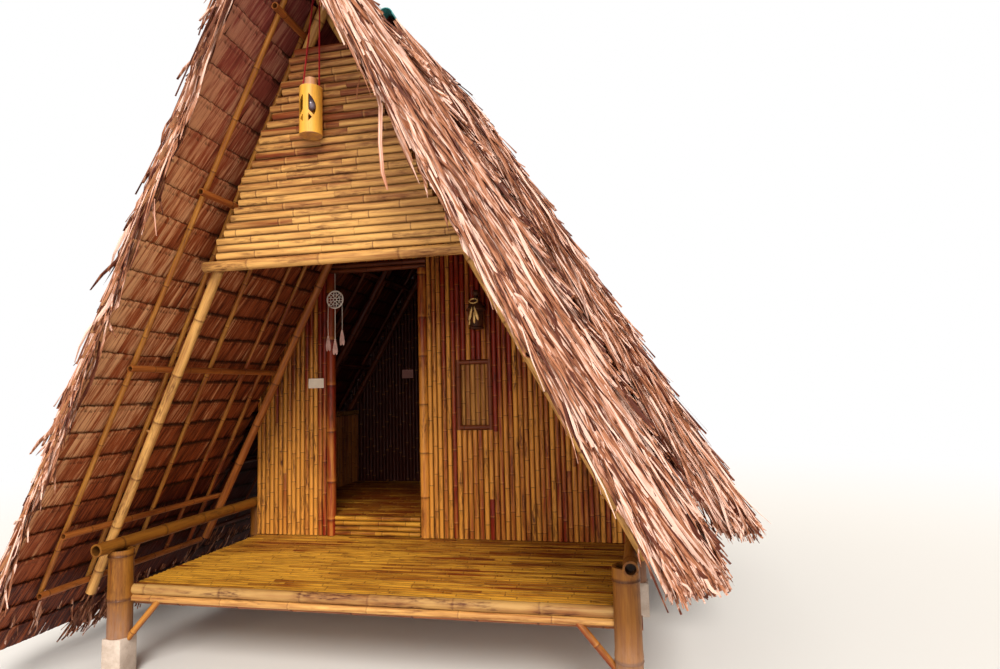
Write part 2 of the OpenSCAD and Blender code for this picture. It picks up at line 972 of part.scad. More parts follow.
hut() footings();
hut() front_posts();
hut() middle_posts();
hut() rear_posts();
hut() deck_braces();
hut() side_rails();
hut() deck_edge_upper();
hut() deck_edge_lower();
hut() floor_bearers();
hut() floor_joists();
hut() porch_deck();
hut() room_floor();
hut() door_step();
hut() front_left_rafter();
hut() front_right_rafter();
hut() inner_rafters();
hut() porch_thin_rafters();
hut() porch_purlins();
hut() gable_beam();
hut() gable_screen();
hut() ridge_poles();
hut() front_wall_left();
hut() front_wall_right();
hut() front_wall_head();
hut() door_posts();
hut() door_header();
hut() window_frame();
hut() window_shutter();
hut() left_knee_wall();
hut() right_knee_wall();
hut() knee_rails();
hut() rear_wall();
hut() main_rafters();
hut() main_purlins();
hut() main_thin_rafters();
hut() porch_thatch_left();
hut() porch_thatch_right();
hut() main_thatch_left();
hut() main_thatch_right();
hut() ridge_cap();
hut() lantern_body();
hut() lantern_cords();
hut() wall_lantern();
hut() dream_catcher();
hut() wall_plates();
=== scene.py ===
import json
import math
from collections import namedtuple

import bmesh
import bpy
import numpy as np
from mathutils import Matrix, Vector


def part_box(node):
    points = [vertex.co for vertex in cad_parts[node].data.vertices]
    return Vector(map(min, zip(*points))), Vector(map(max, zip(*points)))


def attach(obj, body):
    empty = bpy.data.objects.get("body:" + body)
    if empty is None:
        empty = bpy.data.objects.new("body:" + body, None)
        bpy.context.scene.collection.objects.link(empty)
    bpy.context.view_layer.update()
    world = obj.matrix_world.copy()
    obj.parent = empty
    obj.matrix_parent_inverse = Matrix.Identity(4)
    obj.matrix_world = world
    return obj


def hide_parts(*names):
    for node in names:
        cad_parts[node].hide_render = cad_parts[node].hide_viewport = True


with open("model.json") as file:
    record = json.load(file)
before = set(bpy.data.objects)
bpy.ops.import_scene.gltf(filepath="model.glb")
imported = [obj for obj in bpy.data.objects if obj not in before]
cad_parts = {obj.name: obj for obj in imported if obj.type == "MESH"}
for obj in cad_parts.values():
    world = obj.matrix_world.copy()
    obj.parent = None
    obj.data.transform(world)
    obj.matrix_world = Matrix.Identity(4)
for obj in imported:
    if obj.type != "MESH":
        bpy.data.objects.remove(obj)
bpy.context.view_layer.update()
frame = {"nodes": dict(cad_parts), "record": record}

# The hut's own coordinates start on the ridge line, at the deck's front edge, on the ground. The deck's floor
# starts this far behind the edge.
deck_inset = 0.012
ridge_x = (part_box("ridge_cap")[0].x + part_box("ridge_cap")[1].x) / 2
front_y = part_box("porch_deck")[0].y - deck_inset
deck_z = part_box("porch_deck")[1].z


def spot(x, y, z):
    return Vector((ridge_x + x, front_y + y, z))


# Camera, where the photograph was taken
camera_at = spot(1.5285, -3.2314, deck_z + 1.0794)
camera_yaw = -0.2130
camera_pitch = 0.0839
camera_roll = -0.0260
camera_lens = 22.72


def make_camera():
    data = bpy.data.cameras.new("camera")
    data.lens = camera_lens
    data.sensor_width = 36.0
    data.clip_end = 200.0
    camera = bpy.data.objects.new("camera", data)
    bpy.context.scene.collection.objects.link(camera)
    forward = Vector((
        math.sin(camera_yaw) * math.cos(camera_pitch),
        math.cos(camera_yaw) * math.cos(camera_pitch),
        math.sin(camera_pitch),
    ))
    level = Vector((math.cos(camera_yaw), -math.sin(camera_yaw), 0))
    upright = level.cross(forward)
    right = math.cos(camera_roll) * level + math.sin(camera_roll) * upright
    up = right.cross(forward)
    turn = Matrix((right, up, -forward)).transposed()
    camera.matrix_world = Matrix.Translation(camera_at) @ turn.to_4x4()
    bpy.context.scene.camera = camera


make_camera()


# Sizes in metres, as in the hut's source
culm_pitch = 0.037
wall_front = 1.25
wall_thick = 0.04
wall_half = 1.417
rear_wall_front = 3.03
front_lean = math.radians(5.65)
thatch_inner = 0.096
course_count = 12
course_step = 0.046
# Porch strands behind this Y lie flat, because the main thatch laps over them with this gap
lap_y = 0.40
lap_gap = 0.055


class Roof:
    """A roof by its rafters' crossing and pitch, and the thatch over them

    The thatch grows to its full thickness over a share of the slope, and lies in courses that stand proud at
    their lower edges. Its front verge leans forward with height, and behind a nose of the verge its face
    slants back.
    """

    def __init__(self, crossing, pitch, ridge, ridge_thick, thick, growth, verge, lean, nose, slant, back):
        self.crossing = crossing
        self.pitch = math.radians(pitch)
        self.ridge = ridge
        self.ridge_thick = ridge_thick
        self.thick = thick
        self.growth = growth
        self.verge = verge
        self.lean = lean
        self.nose = nose
        self.slant = slant
        self.back = back

    def down(self, side):
        return np.array((side * math.cos(self.pitch), 0, -math.sin(self.pitch)))

    def out(self, side):
        return np.array((side * math.sin(self.pitch), 0, math.cos(self.pitch)))

    def outer(self, z, eave):
        """Distance of the thatch's outer face from the rafters' axes, at height z"""
        share = np.clip((self.ridge - z) / (self.ridge - eave) / self.growth, 0, 1)
        return self.ridge_thick + (self.thick - self.ridge_thick) * share

    def course_rise(self, share, phase):
        """Height of a course over the mean face, by the share of the slope above it and the phase in it"""
        return (phase - 0.5) * course_step * np.minimum(1, 4 * np.maximum(share, 0))

    def surface(self, z, eave):
        """Distance of the stepped outer face from the rafters' axes"""
        share = np.clip((self.ridge - z) / (self.ridge - eave), 0, 0.9999)
        return self.outer(z, eave) + self.course_rise(share, course_count * share % 1)

    def reach(self, z, away):
        """How far across the hut a point lies, by its height and its distance from the rafters' axes"""
        return (self.crossing + away / math.cos(self.pitch) - z) / math.tan(self.pitch)

    def away(self, x, z):
        """Distance of a point from the rafters' axes"""
        return (z - self.crossing) * math.cos(self.pitch) + x * math.sin(self.pitch)

    def front(self, z, away=0.0):
        """Y of the front verge"""
        return self.verge - math.tan(self.lean) * (z - deck_z) + self.slant * np.maximum(0, away - self.nose)

    def point(self, side, z, y, away):
        """Points in the part's frame, as an array"""
        x = self.reach(z, away)
        return np.stack([ridge_x + side * x, front_y + y + 0 * x, z + 0 * x], axis=-1)


porch_roof = Roof(
    crossing=deck_z + 3.09, pitch=61.8, ridge=deck_z + 3.45, ridge_thick=0.175, thick=0.290, growth=1 / 3,
    verge=-0.52, lean=front_lean, nose=0.136, slant=1.25, back=0.90)
main_roof = Roof(
    crossing=deck_z + 3.34, pitch=59.5, ridge=deck_z + 3.545, ridge_thick=0.160, thick=0.275, growth=1 / 5,
    verge=0.56, lean=0, nose=0, slant=0, back=3.45)
eaves = {-1: 0.25, 1: 0.70}


def lap_inner(z, side):
    """Distance of the main thatch's underside from the main rafters' axes, over the porch thatch"""
    away = porch_roof.outer(z, eaves[side]) + lap_gap
    return main_roof.away(porch_roof.reach(z, away), z)


def dice_for(name):
    """Random numbers that depend only on the piece's name"""
    return np.random.default_rng([ord(letter) for letter in name])


# Shapes: points, marks (node ring and joint shade) of each point, and faces
Shape = namedtuple("Shape", "points marks corners sizes")


def shape_of(bm):
    """Takes the shape out of a bmesh and frees it"""
    ring = bm.verts.layers.float.get("ring")
    shade = bm.verts.layers.float.get("shade")
    bm.verts.index_update()
    points = np.array([v.co for v in bm.verts])
    marks = np.zeros((len(points), 2))
    if ring:
        marks = np.array([(v[ring], v[shade]) for v in bm.verts])
    corners = np.array([v.index for f in bm.faces for v in f.verts])
    sizes = np.array([len(f.verts) for f in bm.faces])
    bm.free()
    return Shape(points, marks, corners, sizes)


class Bundle:
    """Shapes gathered into one mesh. Each copy has its own tone and its own stretch of grain."""

    def __init__(self):
        self.points, self.grain, self.marks, self.corners, self.sizes = [], [], [], [], []
        self.total = 0

    def add(self, shape, places, tones, starts):
        """Adds a copy of the shape at each place, with its tone and the start of its grain"""
        places = np.array(places, float).reshape(-1, 4, 4)
        tones = np.array(tones, float).reshape(-1, 1)
        starts = np.array(starts, float).reshape(-1, 1)
        copies, size = len(places), len(shape.points)
        moved = np.einsum("nij,kj->nki", places[:, :3, :3], shape.points) + places[:, None, :3, 3]
        stretch = np.linalg.norm(places[:, :3, :3], axis=1)
        grain = shape.points[None] * stretch[:, None, :]
        grain[:, :, 2] += starts
        grain[:, :, 0] += 0.37 * starts
        marks = np.empty((copies, size, 3))
        marks[:, :, 0] = tones
        marks[:, :, 1:] = shape.marks[None]
        offsets = self.total + size * np.arange(copies)[:, None]
        self.points.append(moved.reshape(-1, 3))
        self.grain.append(grain.reshape(-1, 3))
        self.marks.append(marks.reshape(-1, 3))
        self.corners.append((shape.corners[None] + offsets).ravel())
        self.sizes.append(np.tile(shape.sizes, copies))
        self.total += size * copies

    def piece(self, name, material, replaced=(), sharp=50):
        """Makes the piece, riding on the hut and standing for the CAD nodes that it replaces"""
        points, corners, sizes = map(np.concatenate, (self.points, self.corners, self.sizes))
        mesh = bpy.data.meshes.new(name)
        mesh.vertices.add(len(points))
        mesh.vertices.foreach_set("co", points.astype(np.float32).ravel())
        mesh.loops.add(len(corners))
        mesh.loops.foreach_set("vertex_index", corners.astype(np.int32))
        mesh.polygons.add(len(sizes))
        mesh.polygons.foreach_set("loop_start", (np.cumsum(sizes) - sizes).astype(np.int32))
        mesh.update(calc_edges=True)
        mesh.polygons.foreach_set("use_smooth", np.ones(len(sizes), bool))
        for label, values in (("grain", self.grain), ("marks", self.marks)):
            layer = mesh.attributes.new(label, "FLOAT_VECTOR", "POINT")
            layer.data.foreach_set("vector", np.concatenate(values).astype(np.float32).ravel())
        mesh.set_sharp_from_angle(angle=math.radians(sharp))
        return settle(name, mesh, material, replaced)


def settle(name, mesh, material, replaced=()):
    """Makes an object of the mesh that rides on the hut"""
    made = bpy.data.objects.new(name, mesh)
    bpy.context.scene.collection.objects.link(made)
    mesh.materials.append(material)
    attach(made, "root")
    if replaced:
        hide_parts(*replaced)
    return made


def lay(start, end, across):
    """Place of a shape that stands on start with its Z towards end, and its X turned towards across"""
    z = (Vector(end) - Vector(start)).normalized()
    y = z.cross(Vector(across)).normalized()
    x = y.cross(z)
    place = Matrix((x, y, z)).transposed().to_4x4()
    place.translation = start
    return place


def mark_layers(bm):
    """New layers for the node ring and the joint shade of each point"""
    return bm.verts.layers.float.new("ring"), bm.verts.layers.float.new("shade")


def spun(line, sides):
    """Turns a line of (radius, height, ring mark, shade mark) about Z"""
    bm = bmesh.new()
    ring, shade = mark_layers(bm)
    verts = []
    for radius, height, ring_mark, shade_mark in line:
        vert = bm.verts.new((radius, 0, height))
        vert[ring] = ring_mark
        vert[shade] = shade_mark
        verts.append(vert)
    edges = [bm.edges.new(pair) for pair in zip(verts, verts[1:])]
    bmesh.ops.spin(
        bm, geom=verts + edges, cent=(0, 0, 0), axis=(0, 0, 1), dvec=(0, 0, 0),
        angle=2 * math.pi, steps=sides, use_merge=True,
    )
    bmesh.ops.remove_doubles(bm, verts=bm.verts, dist=1e-5)
    bmesh.ops.recalc_face_normals(bm, faces=bm.faces)
    return bm


# Radius, height and ring mark of a culm's node, for big and for small culms, about its middle
big_node = (
    (0.985, -0.018, 0.0), (1.015, -0.005, 0.3), (1.065, -0.001, 1.0),
    (1.01, 0.004, 0.75), (1.04, 0.012, -0.55), (1.0, 0.034, -0.15),
)
small_node = ((0.985, -0.009, 0.0), (1.07, 0.0, 1.0), (1.03, 0.006, -0.45), (1.0, 0.020, 0.0))
# A culm thicker than this radius has big nodes
big_radius = 0.021
# No node comes this close to a culm's ends
node_margin = 0.03
# Inner radius of a culm's open end, as a share of the outer one, and the painted shade on its cut rim
bore_share = 0.72
rim_shade = 0.45


def node_heights(length, spacing, dice):
    """Heights of a culm's nodes, unevenly spaced"""
    heights = []
    height = dice.uniform(0.15, 0.9) * spacing
    while height < length - node_margin:
        if height > node_margin:
            heights.append(height)
        height += spacing * dice.uniform(0.82, 1.12)
    return heights


def culm(length, radius, dice, sides=12, spacing=0.30, bow=0.0, joined=0.0, ringed=1.0, nodes=None):
    """A hollow bamboo culm along Z. A joined one is shaded towards its neighbours on X."""
    form = big_node if radius > big_radius else small_node
    scale = min(1.5, max(0.8, radius / 0.03))
    bore = min(0.07, 0.2 * length)
    inside = bore_share * radius
    # The bore in each open end is painted in full shade, and its cut rim in part
    line = [(0, bore, 0, 1), (inside, bore, 0, 1), (inside, 0, 0, rim_shade), (radius, 0, 0, 0)]
    for height in nodes or node_heights(length, spacing, dice):
        swell = dice.uniform(0.99, 1.015)
        for share, rise, mark in form:
            line.append((radius * share * swell, height + rise * scale, mark * ringed, 0))
    line = [p for p in line if p[1] <= length - 0.002]
    line += [(radius, length, 0, 0), (inside, length, 0, rim_shade)]
    line += [(inside, length - bore, 0, 1), (0, length - bore, 0, 1)]
    bm = spun(line, sides)
    shade = bm.verts.layers.float["shade"]
    for vert in bm.verts:
        edge = abs(vert.co.x) / radius
        # Facets towards the neighbours are painted with the shade between the culms
        if joined and edge > 0.8:
            vert[shade] = max(vert[shade], joined * (1.0 if edge > 0.93 else 0.7))
        vert.co.x += bow * math.sin(math.pi * vert.co.z / length)
    return shape_of(bm)


def solids_of(node):
    """The points of each separate solid in a CAD node, in the order of its mesh"""
    bm = bmesh.new()
    bm.from_mesh(frame["nodes"][node].data)
    bmesh.ops.remove_doubles(bm, verts=bm.verts, dist=1e-5)
    seen, solids = set(), []
    for first in bm.verts:
        if first in seen:
            continue
        seen.add(first)
        stack, group = [first], []
        while stack:
            vert = stack.pop()
            group.append(tuple(vert.co))
            for edge in vert.link_edges:
                other = edge.other_vert(vert)
                if other not in seen:
                    seen.add(other)
                    stack.append(other)
        solids.append(np.array(group))
    bm.free()
    return solids


def rods(node, upright=False):
    """The two ends and the radius of each pole in a CAD node"""
    found = []
    for points in solids_of(node):
        low, high = points.min(0), points.max(0)
        if upright:
            middle = (low + high) / 2
            ends = [(*middle[:2], low[2]), (*middle[:2], high[2])]
            found.append((Vector(ends[0]), Vector(ends[1]), (high[1] - low[1]) / 2))
            continue
        middle = points.mean(0)
        axis = np.linalg.svd(points - middle)[2][0]
        axis *= math.copysign(1, axis @ (0.3, 0.5, 1.0))
        along = (points - middle) @ axis
        radius = np.linalg.norm(points - middle - np.outer(along, axis), axis=1).max()
        found.append((Vector(middle + along.min() * axis), Vector(middle + along.max() * axis), radius))
    return found


def branch_stub(radius):
    """A cut branch on a node, pointing along X"""
    bm = bmesh.new()
    bmesh.ops.create_cone(
        bm, cap_ends=True, segments=6, radius1=0.3 * radius, radius2=0.18 * radius, depth=0.7 * radius,
        matrix=Matrix.Translation((1.2 * radius, 0, 0)) @ Matrix.Rotation(math.radians(70), 4, "Y"),
    )
    return shape_of(bm)


# Culms are a little thinner than the CAD poles, which leaves room for their node rings
slim = 0.975
front_post_slim = 0.985
window_slim = 0.97
# Joint between two culms that are butted end to end, and the shortest culm that is laid
butt_gap = 0.0015
shortest_culm = 0.03
# Full culms in a wall, and split ones in a floor or screen, press into each other by these shares
wall_squeeze = 1.05
split_squeeze = 1.04


def poles(name, node, material, tone, spacing=0.30, sides=12, bow=0.0, upright=False, stubs=0.0,
          ringed=1.0, painted_rear_shade=0.0):
    """Culms in the place of every pole of a CAD node

    They can have cut branches, and can be darker towards the rear, as painted shade under the roof.
    """
    dice = dice_for(name)
    bundle = Bundle()
    for start, end, radius in rods(node, upright):
        length = (end - start).length
        turn = dice.uniform(0, 2 * math.pi)
        place = lay(start, end, (math.cos(turn), math.sin(turn), 0.13))
        rear = min(1.0, max(0.0, (start.y - front_y + 0.3) / 1.3))
        shade = tone + painted_rear_shade * rear + dice.uniform(-0.13, 0.13)
        grain = dice.uniform(0, 90)
        shape = culm(length, radius * slim, dice, sides, spacing, bow * dice.uniform(0.3, 1), ringed=ringed)
        bundle.add(shape, place, shade, grain)
        for height in np.arange(0.35, length - 0.2, 2 * spacing):
            if dice.random() < stubs:
                spin = Matrix.Translation((0, 0, height)) @ Matrix.Rotation(dice.uniform(0, 6.28), 4, "Z")
                bundle.add(branch_stub(radius), place @ spin, shade + 0.2, grain)
    bundle.piece(name, material, [node])


def middles(low, high, count):
    """The middles of a number of equal parts of a length"""
    return np.linspace(low, high, 2 * count + 1)[1::2]


def row(bundle, starts, ends, across, radius, dice, tone, spread=0.18, flat=1.0, split=0.0, spacing=0.24,
        sides=12, joined=0.85):
    """A row of culms side by side. Some are split into two lengths."""
    for start, end in zip(starts, ends):
        start, end = Vector(start), Vector(end)
        cuts = [0.0, 1.0]
        if dice.random() < split:
            cuts.insert(1, dice.uniform(0.25, 0.75))
        for low, high in zip(cuts, cuts[1:]):
            first = start.lerp(end, low)
            last = start.lerp(end, high)
            length = (last - first).length - butt_gap
            if length < shortest_culm:
                continue
            place = lay(first, last, across) @ Matrix.Diagonal((1, flat, 1, 1))
            size = radius * dice.uniform(0.97, 1.02)
            shape = culm(length, size, dice, sides, spacing, joined=joined)
            bundle.add(shape, place, tone((first + last) / 2) + dice.normal(0, spread), dice.uniform(0, 90))


# Materials
def new_group(name, inputs, outputs):
    """A shader node group with named inputs and outputs. Returns the group and its two end nodes."""
    group = bpy.data.node_groups.new(name, "ShaderNodeTree")
    for label, kind, value in inputs:
        socket = group.interface.new_socket(label, in_out="INPUT", socket_type=kind)
        socket.default_value = value
    for label, kind in outputs:
        group.interface.new_socket(label, in_out="OUTPUT", socket_type=kind)
    return group, group.nodes.new("NodeGroupInput"), group.nodes.new("NodeGroupOutput")


class Wires:
    """Short ways to add nodes to a tree"""

    def __init__(self, tree):
        self.tree = tree

    def put(self, socket, value):
        if isinstance(value, bpy.types.NodeSocket):
            self.tree.links.new(value, socket)
        elif value is not None:
            socket.default_value = value

    def math(self, kind, a, b=None, c=None):
        node = self.tree.nodes.new("ShaderNodeMath")
        node.operation = kind
        for socket, value in zip(node.inputs, (a, b, c)):
            self.put(socket, value)
        return node.outputs[0]

    def stretch(self, vector, scale):
        node = self.tree.nodes.new("ShaderNodeVectorMath")
        node.operation = "MULTIPLY"
        self.put(node.inputs[0], vector)
        self.put(node.inputs[1], scale)
        return node.outputs[0]

    def noise(self, vector, scale=1.0, detail=2.0, rough=0.5):
        node = self.tree.nodes.new("ShaderNodeTexNoise")
        self.put(node.inputs["Vector"], vector)
        self.put(node.inputs["Scale"], scale)
        self.put(node.inputs["Detail"], detail)
        self.put(node.inputs["Roughness"], rough)
        return node.outputs["Fac"]

    def span(self, value, low, high, to_low=0.0, to_high=1.0):
        """Maps a range smoothly onto another"""
        node = self.tree.nodes.new("ShaderNodeMapRange")
        node.interpolation_type = "SMOOTHSTEP"
        for socket, given in zip(node.inputs, (value, low, high, to_low, to_high)):
            self.put(socket, given)
        return node.outputs[0]

    def mix(self, share, a, b):
        node = self.tree.nodes.new("ShaderNodeMix")
        node.data_type = "RGBA"
        node.clamp_factor = True
        self.put(node.inputs["Factor"], share)
        self.put(node.inputs["A"], a)
        self.put(node.inputs["B"], b)
        return node.outputs["Result"]

    def bump(self, height, distance, strength=1.0):
        node = self.tree.nodes.new("ShaderNodeBump")
        self.put(node.inputs["Height"], height)
        self.put(node.inputs["Distance"], distance)
        self.put(node.inputs["Strength"], strength)
        return node.outputs[0]

    def attribute(self, name):
        node = self.tree.nodes.new("ShaderNodeAttribute")
        node.attribute_name = name
        return node.outputs["Vector"]

    def split(self, vector):
        node = self.tree.nodes.new("ShaderNodeSeparateXYZ")
        self.put(node.inputs[0], vector)
        return node.outputs

    def place(self):
        return self.tree.nodes.new("ShaderNodeTexCoord").outputs["Object"]


COLOR, VALUE, VECTOR = "NodeSocketColor", "NodeSocketFloat", "NodeSocketVector"
# Dark of painted shade in culm joints, culm bores and the leaves' course lines; the leaves' stitch marks use
# it too
shade_and_stitch_dark = (0.016, 0.005, 0.002, 1)
dust = (0.42, 0.27, 0.20, 1)


def make_bamboo_group():
    """Bamboo skin: streaks along the culm, brown stains, dark node rings, shaded joints and pale dust"""
    group, given, made = new_group(
        "bamboo skin",
        [
            ("Grain", VECTOR, (0, 0, 0)), ("Tone", VALUE, 0.5), ("Ring", VALUE, 0.0), ("Shade", VALUE, 0.0),
            ("Light", COLOR, (1, 1, 1, 1)), ("Deep", COLOR, (0, 0, 0, 1)), ("Stain", COLOR, (0, 0, 0, 1)),
            ("Stains", VALUE, 0.5), ("Dust", VALUE, 0.0), ("Gloss", VALUE, 0.5),
        ],
        [("Color", COLOR), ("Roughness", VALUE), ("Normal", VECTOR)],
    )
    w = Wires(group)
    inlet = given.outputs
    fine = w.noise(w.stretch(inlet["Grain"], (330, 330, 5)), detail=3, rough=0.6)
    broad = w.noise(w.stretch(inlet["Grain"], (38, 38, 2.4)), detail=2)
    speck = w.noise(w.stretch(inlet["Grain"], (90, 90, 16)), detail=4, rough=0.65)
    patch = w.noise(w.stretch(inlet["Grain"], (16, 16, 3.5)), detail=2)
    deepness = w.math("ADD", inlet["Tone"], w.span(broad, 0.25, 0.75, -0.38, 0.38))
    deepness = w.math("ADD", deepness, w.span(fine, 0.2, 0.8, -0.26, 0.26))
    color = w.mix(deepness, inlet["Light"], inlet["Deep"])
    stain = w.math("MULTIPLY", w.span(speck, 0.36, 0.72), w.span(patch, 0.40, 0.70))
    stain = w.math("MULTIPLY", stain, inlet["Stains"])
    color = w.mix(stain, color, inlet["Stain"])
    ring = w.math("MULTIPLY", w.math("MAXIMUM", inlet["Ring"], 0.0), w.span(speck, 0.2, 0.6, 0.55, 1.0))
    color = w.mix(w.math("MULTIPLY", ring, 0.85), color, inlet["Stain"])
    pale = w.math("MULTIPLY", w.math("MINIMUM", inlet["Ring"], 0.0), -0.75)
    color = w.mix(pale, color, inlet["Light"])
    dusty = w.math("MULTIPLY", inlet["Dust"], w.span(speck, 0.3, 0.65, 0.45, 1.0))
    color = w.mix(dusty, color, dust)
    # Painted shade in the joints between culms and inside their open ends
    shade = w.math("MULTIPLY", inlet["Shade"], w.span(broad, 0.2, 0.8, 0.72, 1.0))
    color = w.mix(shade, color, shade_and_stitch_dark)
    w.put(made.inputs["Color"], color)
    rough = w.math("ADD", w.span(fine, 0.2, 0.8, 0.52, 0.74), w.math("MULTIPLY", stain, 0.2))
    rough = w.math("SUBTRACT", rough, w.math("MULTIPLY", inlet["Gloss"], 0.35))
    w.put(made.inputs["Roughness"], w.math("ADD", rough, w.math("MULTIPLY", dusty, 0.4)))
    relief = w.math("ADD", w.math("MULTIPLY", fine, 0.6), w.math("MULTIPLY", speck, 0.4))
    w.put(made.inputs["Normal"], w.bump(relief, 0.0012, 0.6))
    return group


def make_leaf_group():
    """Dry palm leaf: ribs along the leaf, its tone between dark, middle and pale, and weathered patches"""
    group, given, made = new_group(
        "palm leaf",
        [
            ("Grain", VECTOR, (0, 0, 0)), ("Tone", VALUE, 0.5), ("Shade", VALUE, 0.0),
            ("Dark", COLOR, (0, 0, 0, 1)), ("Middle", COLOR, (0.5, 0.5, 0.5, 1)),
            ("Pale", COLOR, (1, 1, 1, 1)), ("Ribs", VALUE, 0.5),
        ],
        [("Color", COLOR), ("Roughness", VALUE), ("Normal", VECTOR)],
    )
    w = Wires(group)
    inlet = given.outputs
    ribs = w.noise(w.stretch(inlet["Grain"], (6, 420, 1)), detail=3, rough=0.6)
    folds = w.noise(w.stretch(inlet["Grain"], (2.5, 80, 1)), detail=2)
    patch = w.noise(w.stretch(inlet["Grain"], (9, 30, 3)), detail=3)
    fleck = w.noise(w.stretch(inlet["Grain"], (60, 200, 3)), detail=3, rough=0.7)
    streak = w.math("ADD", w.span(ribs, 0.25, 0.75, -0.25, 0.25), w.span(folds, 0.3, 0.7, -0.4, 0.4))
    tone = w.math("ADD", inlet["Tone"], w.math("MULTIPLY", streak, inlet["Ribs"]))
    tone = w.math("ADD", tone, w.span(patch, 0.25, 0.75, -0.16, 0.16))
    color = w.mix(w.span(tone, 0.0, 0.55), inlet["Dark"], inlet["Middle"])
    color = w.mix(w.span(tone, 0.5, 1.0), color, inlet["Pale"])
    color = w.mix(w.span(fleck, 0.62, 0.78, 0.0, 0.5), color, inlet["Dark"])
    # Painted shade of the next course under each fold, and the dark stitch marks
    color = w.mix(inlet["Shade"], color, shade_and_stitch_dark)
    w.put(made.inputs["Color"], color)
    w.put(made.inputs["Roughness"], w.span(ribs, 0.2, 0.8, 0.45, 0.70))
    w.put(made.inputs["Normal"], w.bump(w.math("ADD", ribs, folds), 0.0016, 0.8))
    return group


def make_grit_group():
    """Cast or moulded surface: cloudy colour, pores and dust"""
    group, given, made = new_group(
        "grit",
        [
            ("Scale", VALUE, 20.0), ("Light", COLOR, (1, 1, 1, 1)), ("Dark", COLOR, (0, 0, 0, 1)),
            ("Smooth", VALUE, 0.4), ("Coarse", VALUE, 0.8), ("Depth", VALUE, 0.001),
        ],
        [("Color", COLOR), ("Roughness", VALUE), ("Normal", VECTOR)],
    )
    w = Wires(group)
    inlet = given.outputs
    vector = w.place()
    cloud = w.noise(vector, w.math("MULTIPLY", inlet["Scale"], 0.35), 4, 0.6)
    pores = w.noise(vector, w.math("MULTIPLY", inlet["Scale"], 6.0), 3, 0.6)
    share = w.math("ADD", w.span(cloud, 0.3, 0.7, 0.0, 0.75), w.span(pores, 0.55, 0.75, 0.0, 0.4))
    w.put(made.inputs["Color"], w.mix(share, inlet["Light"], inlet["Dark"]))
    wide = w.math("SUBTRACT", inlet["Coarse"], inlet["Smooth"])
    w.put(made.inputs["Roughness"], w.math("MULTIPLY_ADD", w.span(cloud, 0.3, 0.7), wide, inlet["Smooth"]))
    w.put(made.inputs["Normal"], w.bump(w.math("MULTIPLY_ADD", pores, 0.4, cloud), inlet["Depth"], 0.8))
    return group


bamboo_group = make_bamboo_group()
leaf_group = make_leaf_group()
grit_group = make_grit_group()


def rgba(red, green, blue):
    return (red, green, blue, 1.0)


def new_material(name, group, settings, specular=0.4, metallic=0.0):
    """A material whose colour, roughness and normal come from a group, with its wires and group node"""
    material = bpy.data.materials.new(name)
    material.use_nodes = True
    tree = material.node_tree
    shader = tree.nodes["Principled BSDF"]
    shader.inputs["Specular IOR Level"].default_value = specular
    shader.inputs["Metallic"].default_value = metallic
    node = tree.nodes.new("ShaderNodeGroup")
    node.node_tree = group
    for label, value in settings.items():
        node.inputs[label].default_value = value
    for label, socket in (("Color", "Base Color"), ("Roughness", "Roughness"), ("Normal", "Normal")):
        tree.links.new(node.outputs[label], shader.inputs[socket])
    return material, Wires(tree), node


def read_marks(w, node, with_ring):
    """Feeds the piece's own grain, tone and marks to the group"""
    tone, ring, shade = w.split(w.attribute("marks"))
    w.put(node.inputs["Grain"], w.attribute("grain"))
    w.put(node.inputs["Tone"], tone)
    w.put(node.inputs["Shade"], shade)
    if with_ring:
        w.put(node.inputs["Ring"], ring)


def bamboo(name, light, deep, stain, stains, gloss=0.5, dusty=False, deeper=(), patches=0.0):
    """Bamboo that may be dusty low down, deeper along axes (each axis, start, end, amount) and in patches"""
    settings = {"Light": light, "Deep": deep, "Stain": stain, "Stains": stains, "Gloss": gloss}
    material, w, node = new_material(name, bamboo_group, settings, specular=0.25)
    read_marks(w, node, True)
    tone = node.inputs["Tone"].links[0].from_socket
    if dusty:
        height = w.split(w.place())[2]
        w.put(node.inputs["Dust"], w.span(height, 0.20, 0.50, 0.4, 0.0))
    for axis, start, end, amount in deeper:
        tone = w.math("ADD", tone, w.span(w.split(w.place())[axis], start, end, 0.0, amount))
    if patches:
        broad = w.noise(w.stretch(w.place(), (1.5, 3.5, 1.5)), detail=3, rough=0.6)
        tone = w.math("ADD", tone, w.span(broad, 0.35, 0.65, -patches, patches))
    w.put(node.inputs["Tone"], tone)
    return material


def palm(name, dark, middle, pale, ribs, high=None):
    """Palm leaf, with another middle and pale colour high in the roof if they are given"""
    settings = {"Dark": dark, "Middle": middle, "Pale": pale, "Ribs": ribs}
    material, w, node = new_material(name, leaf_group, settings, specular=0.2)
    read_marks(w, node, False)
    if high:
        share = w.span(w.split(w.place())[2], deck_z + 1.8, deck_z + 3.2)
        w.put(node.inputs["Middle"], w.mix(share, middle, high[0]))
        w.put(node.inputs["Pale"], w.mix(share, pale, high[1]))
    return material


bamboo_gold = bamboo(
    "bamboo gold", rgba(0.56, 0.25, 0.042), rgba(0.20, 0.038, 0.008), rgba(0.08, 0.016, 0.005), stains=0.8)
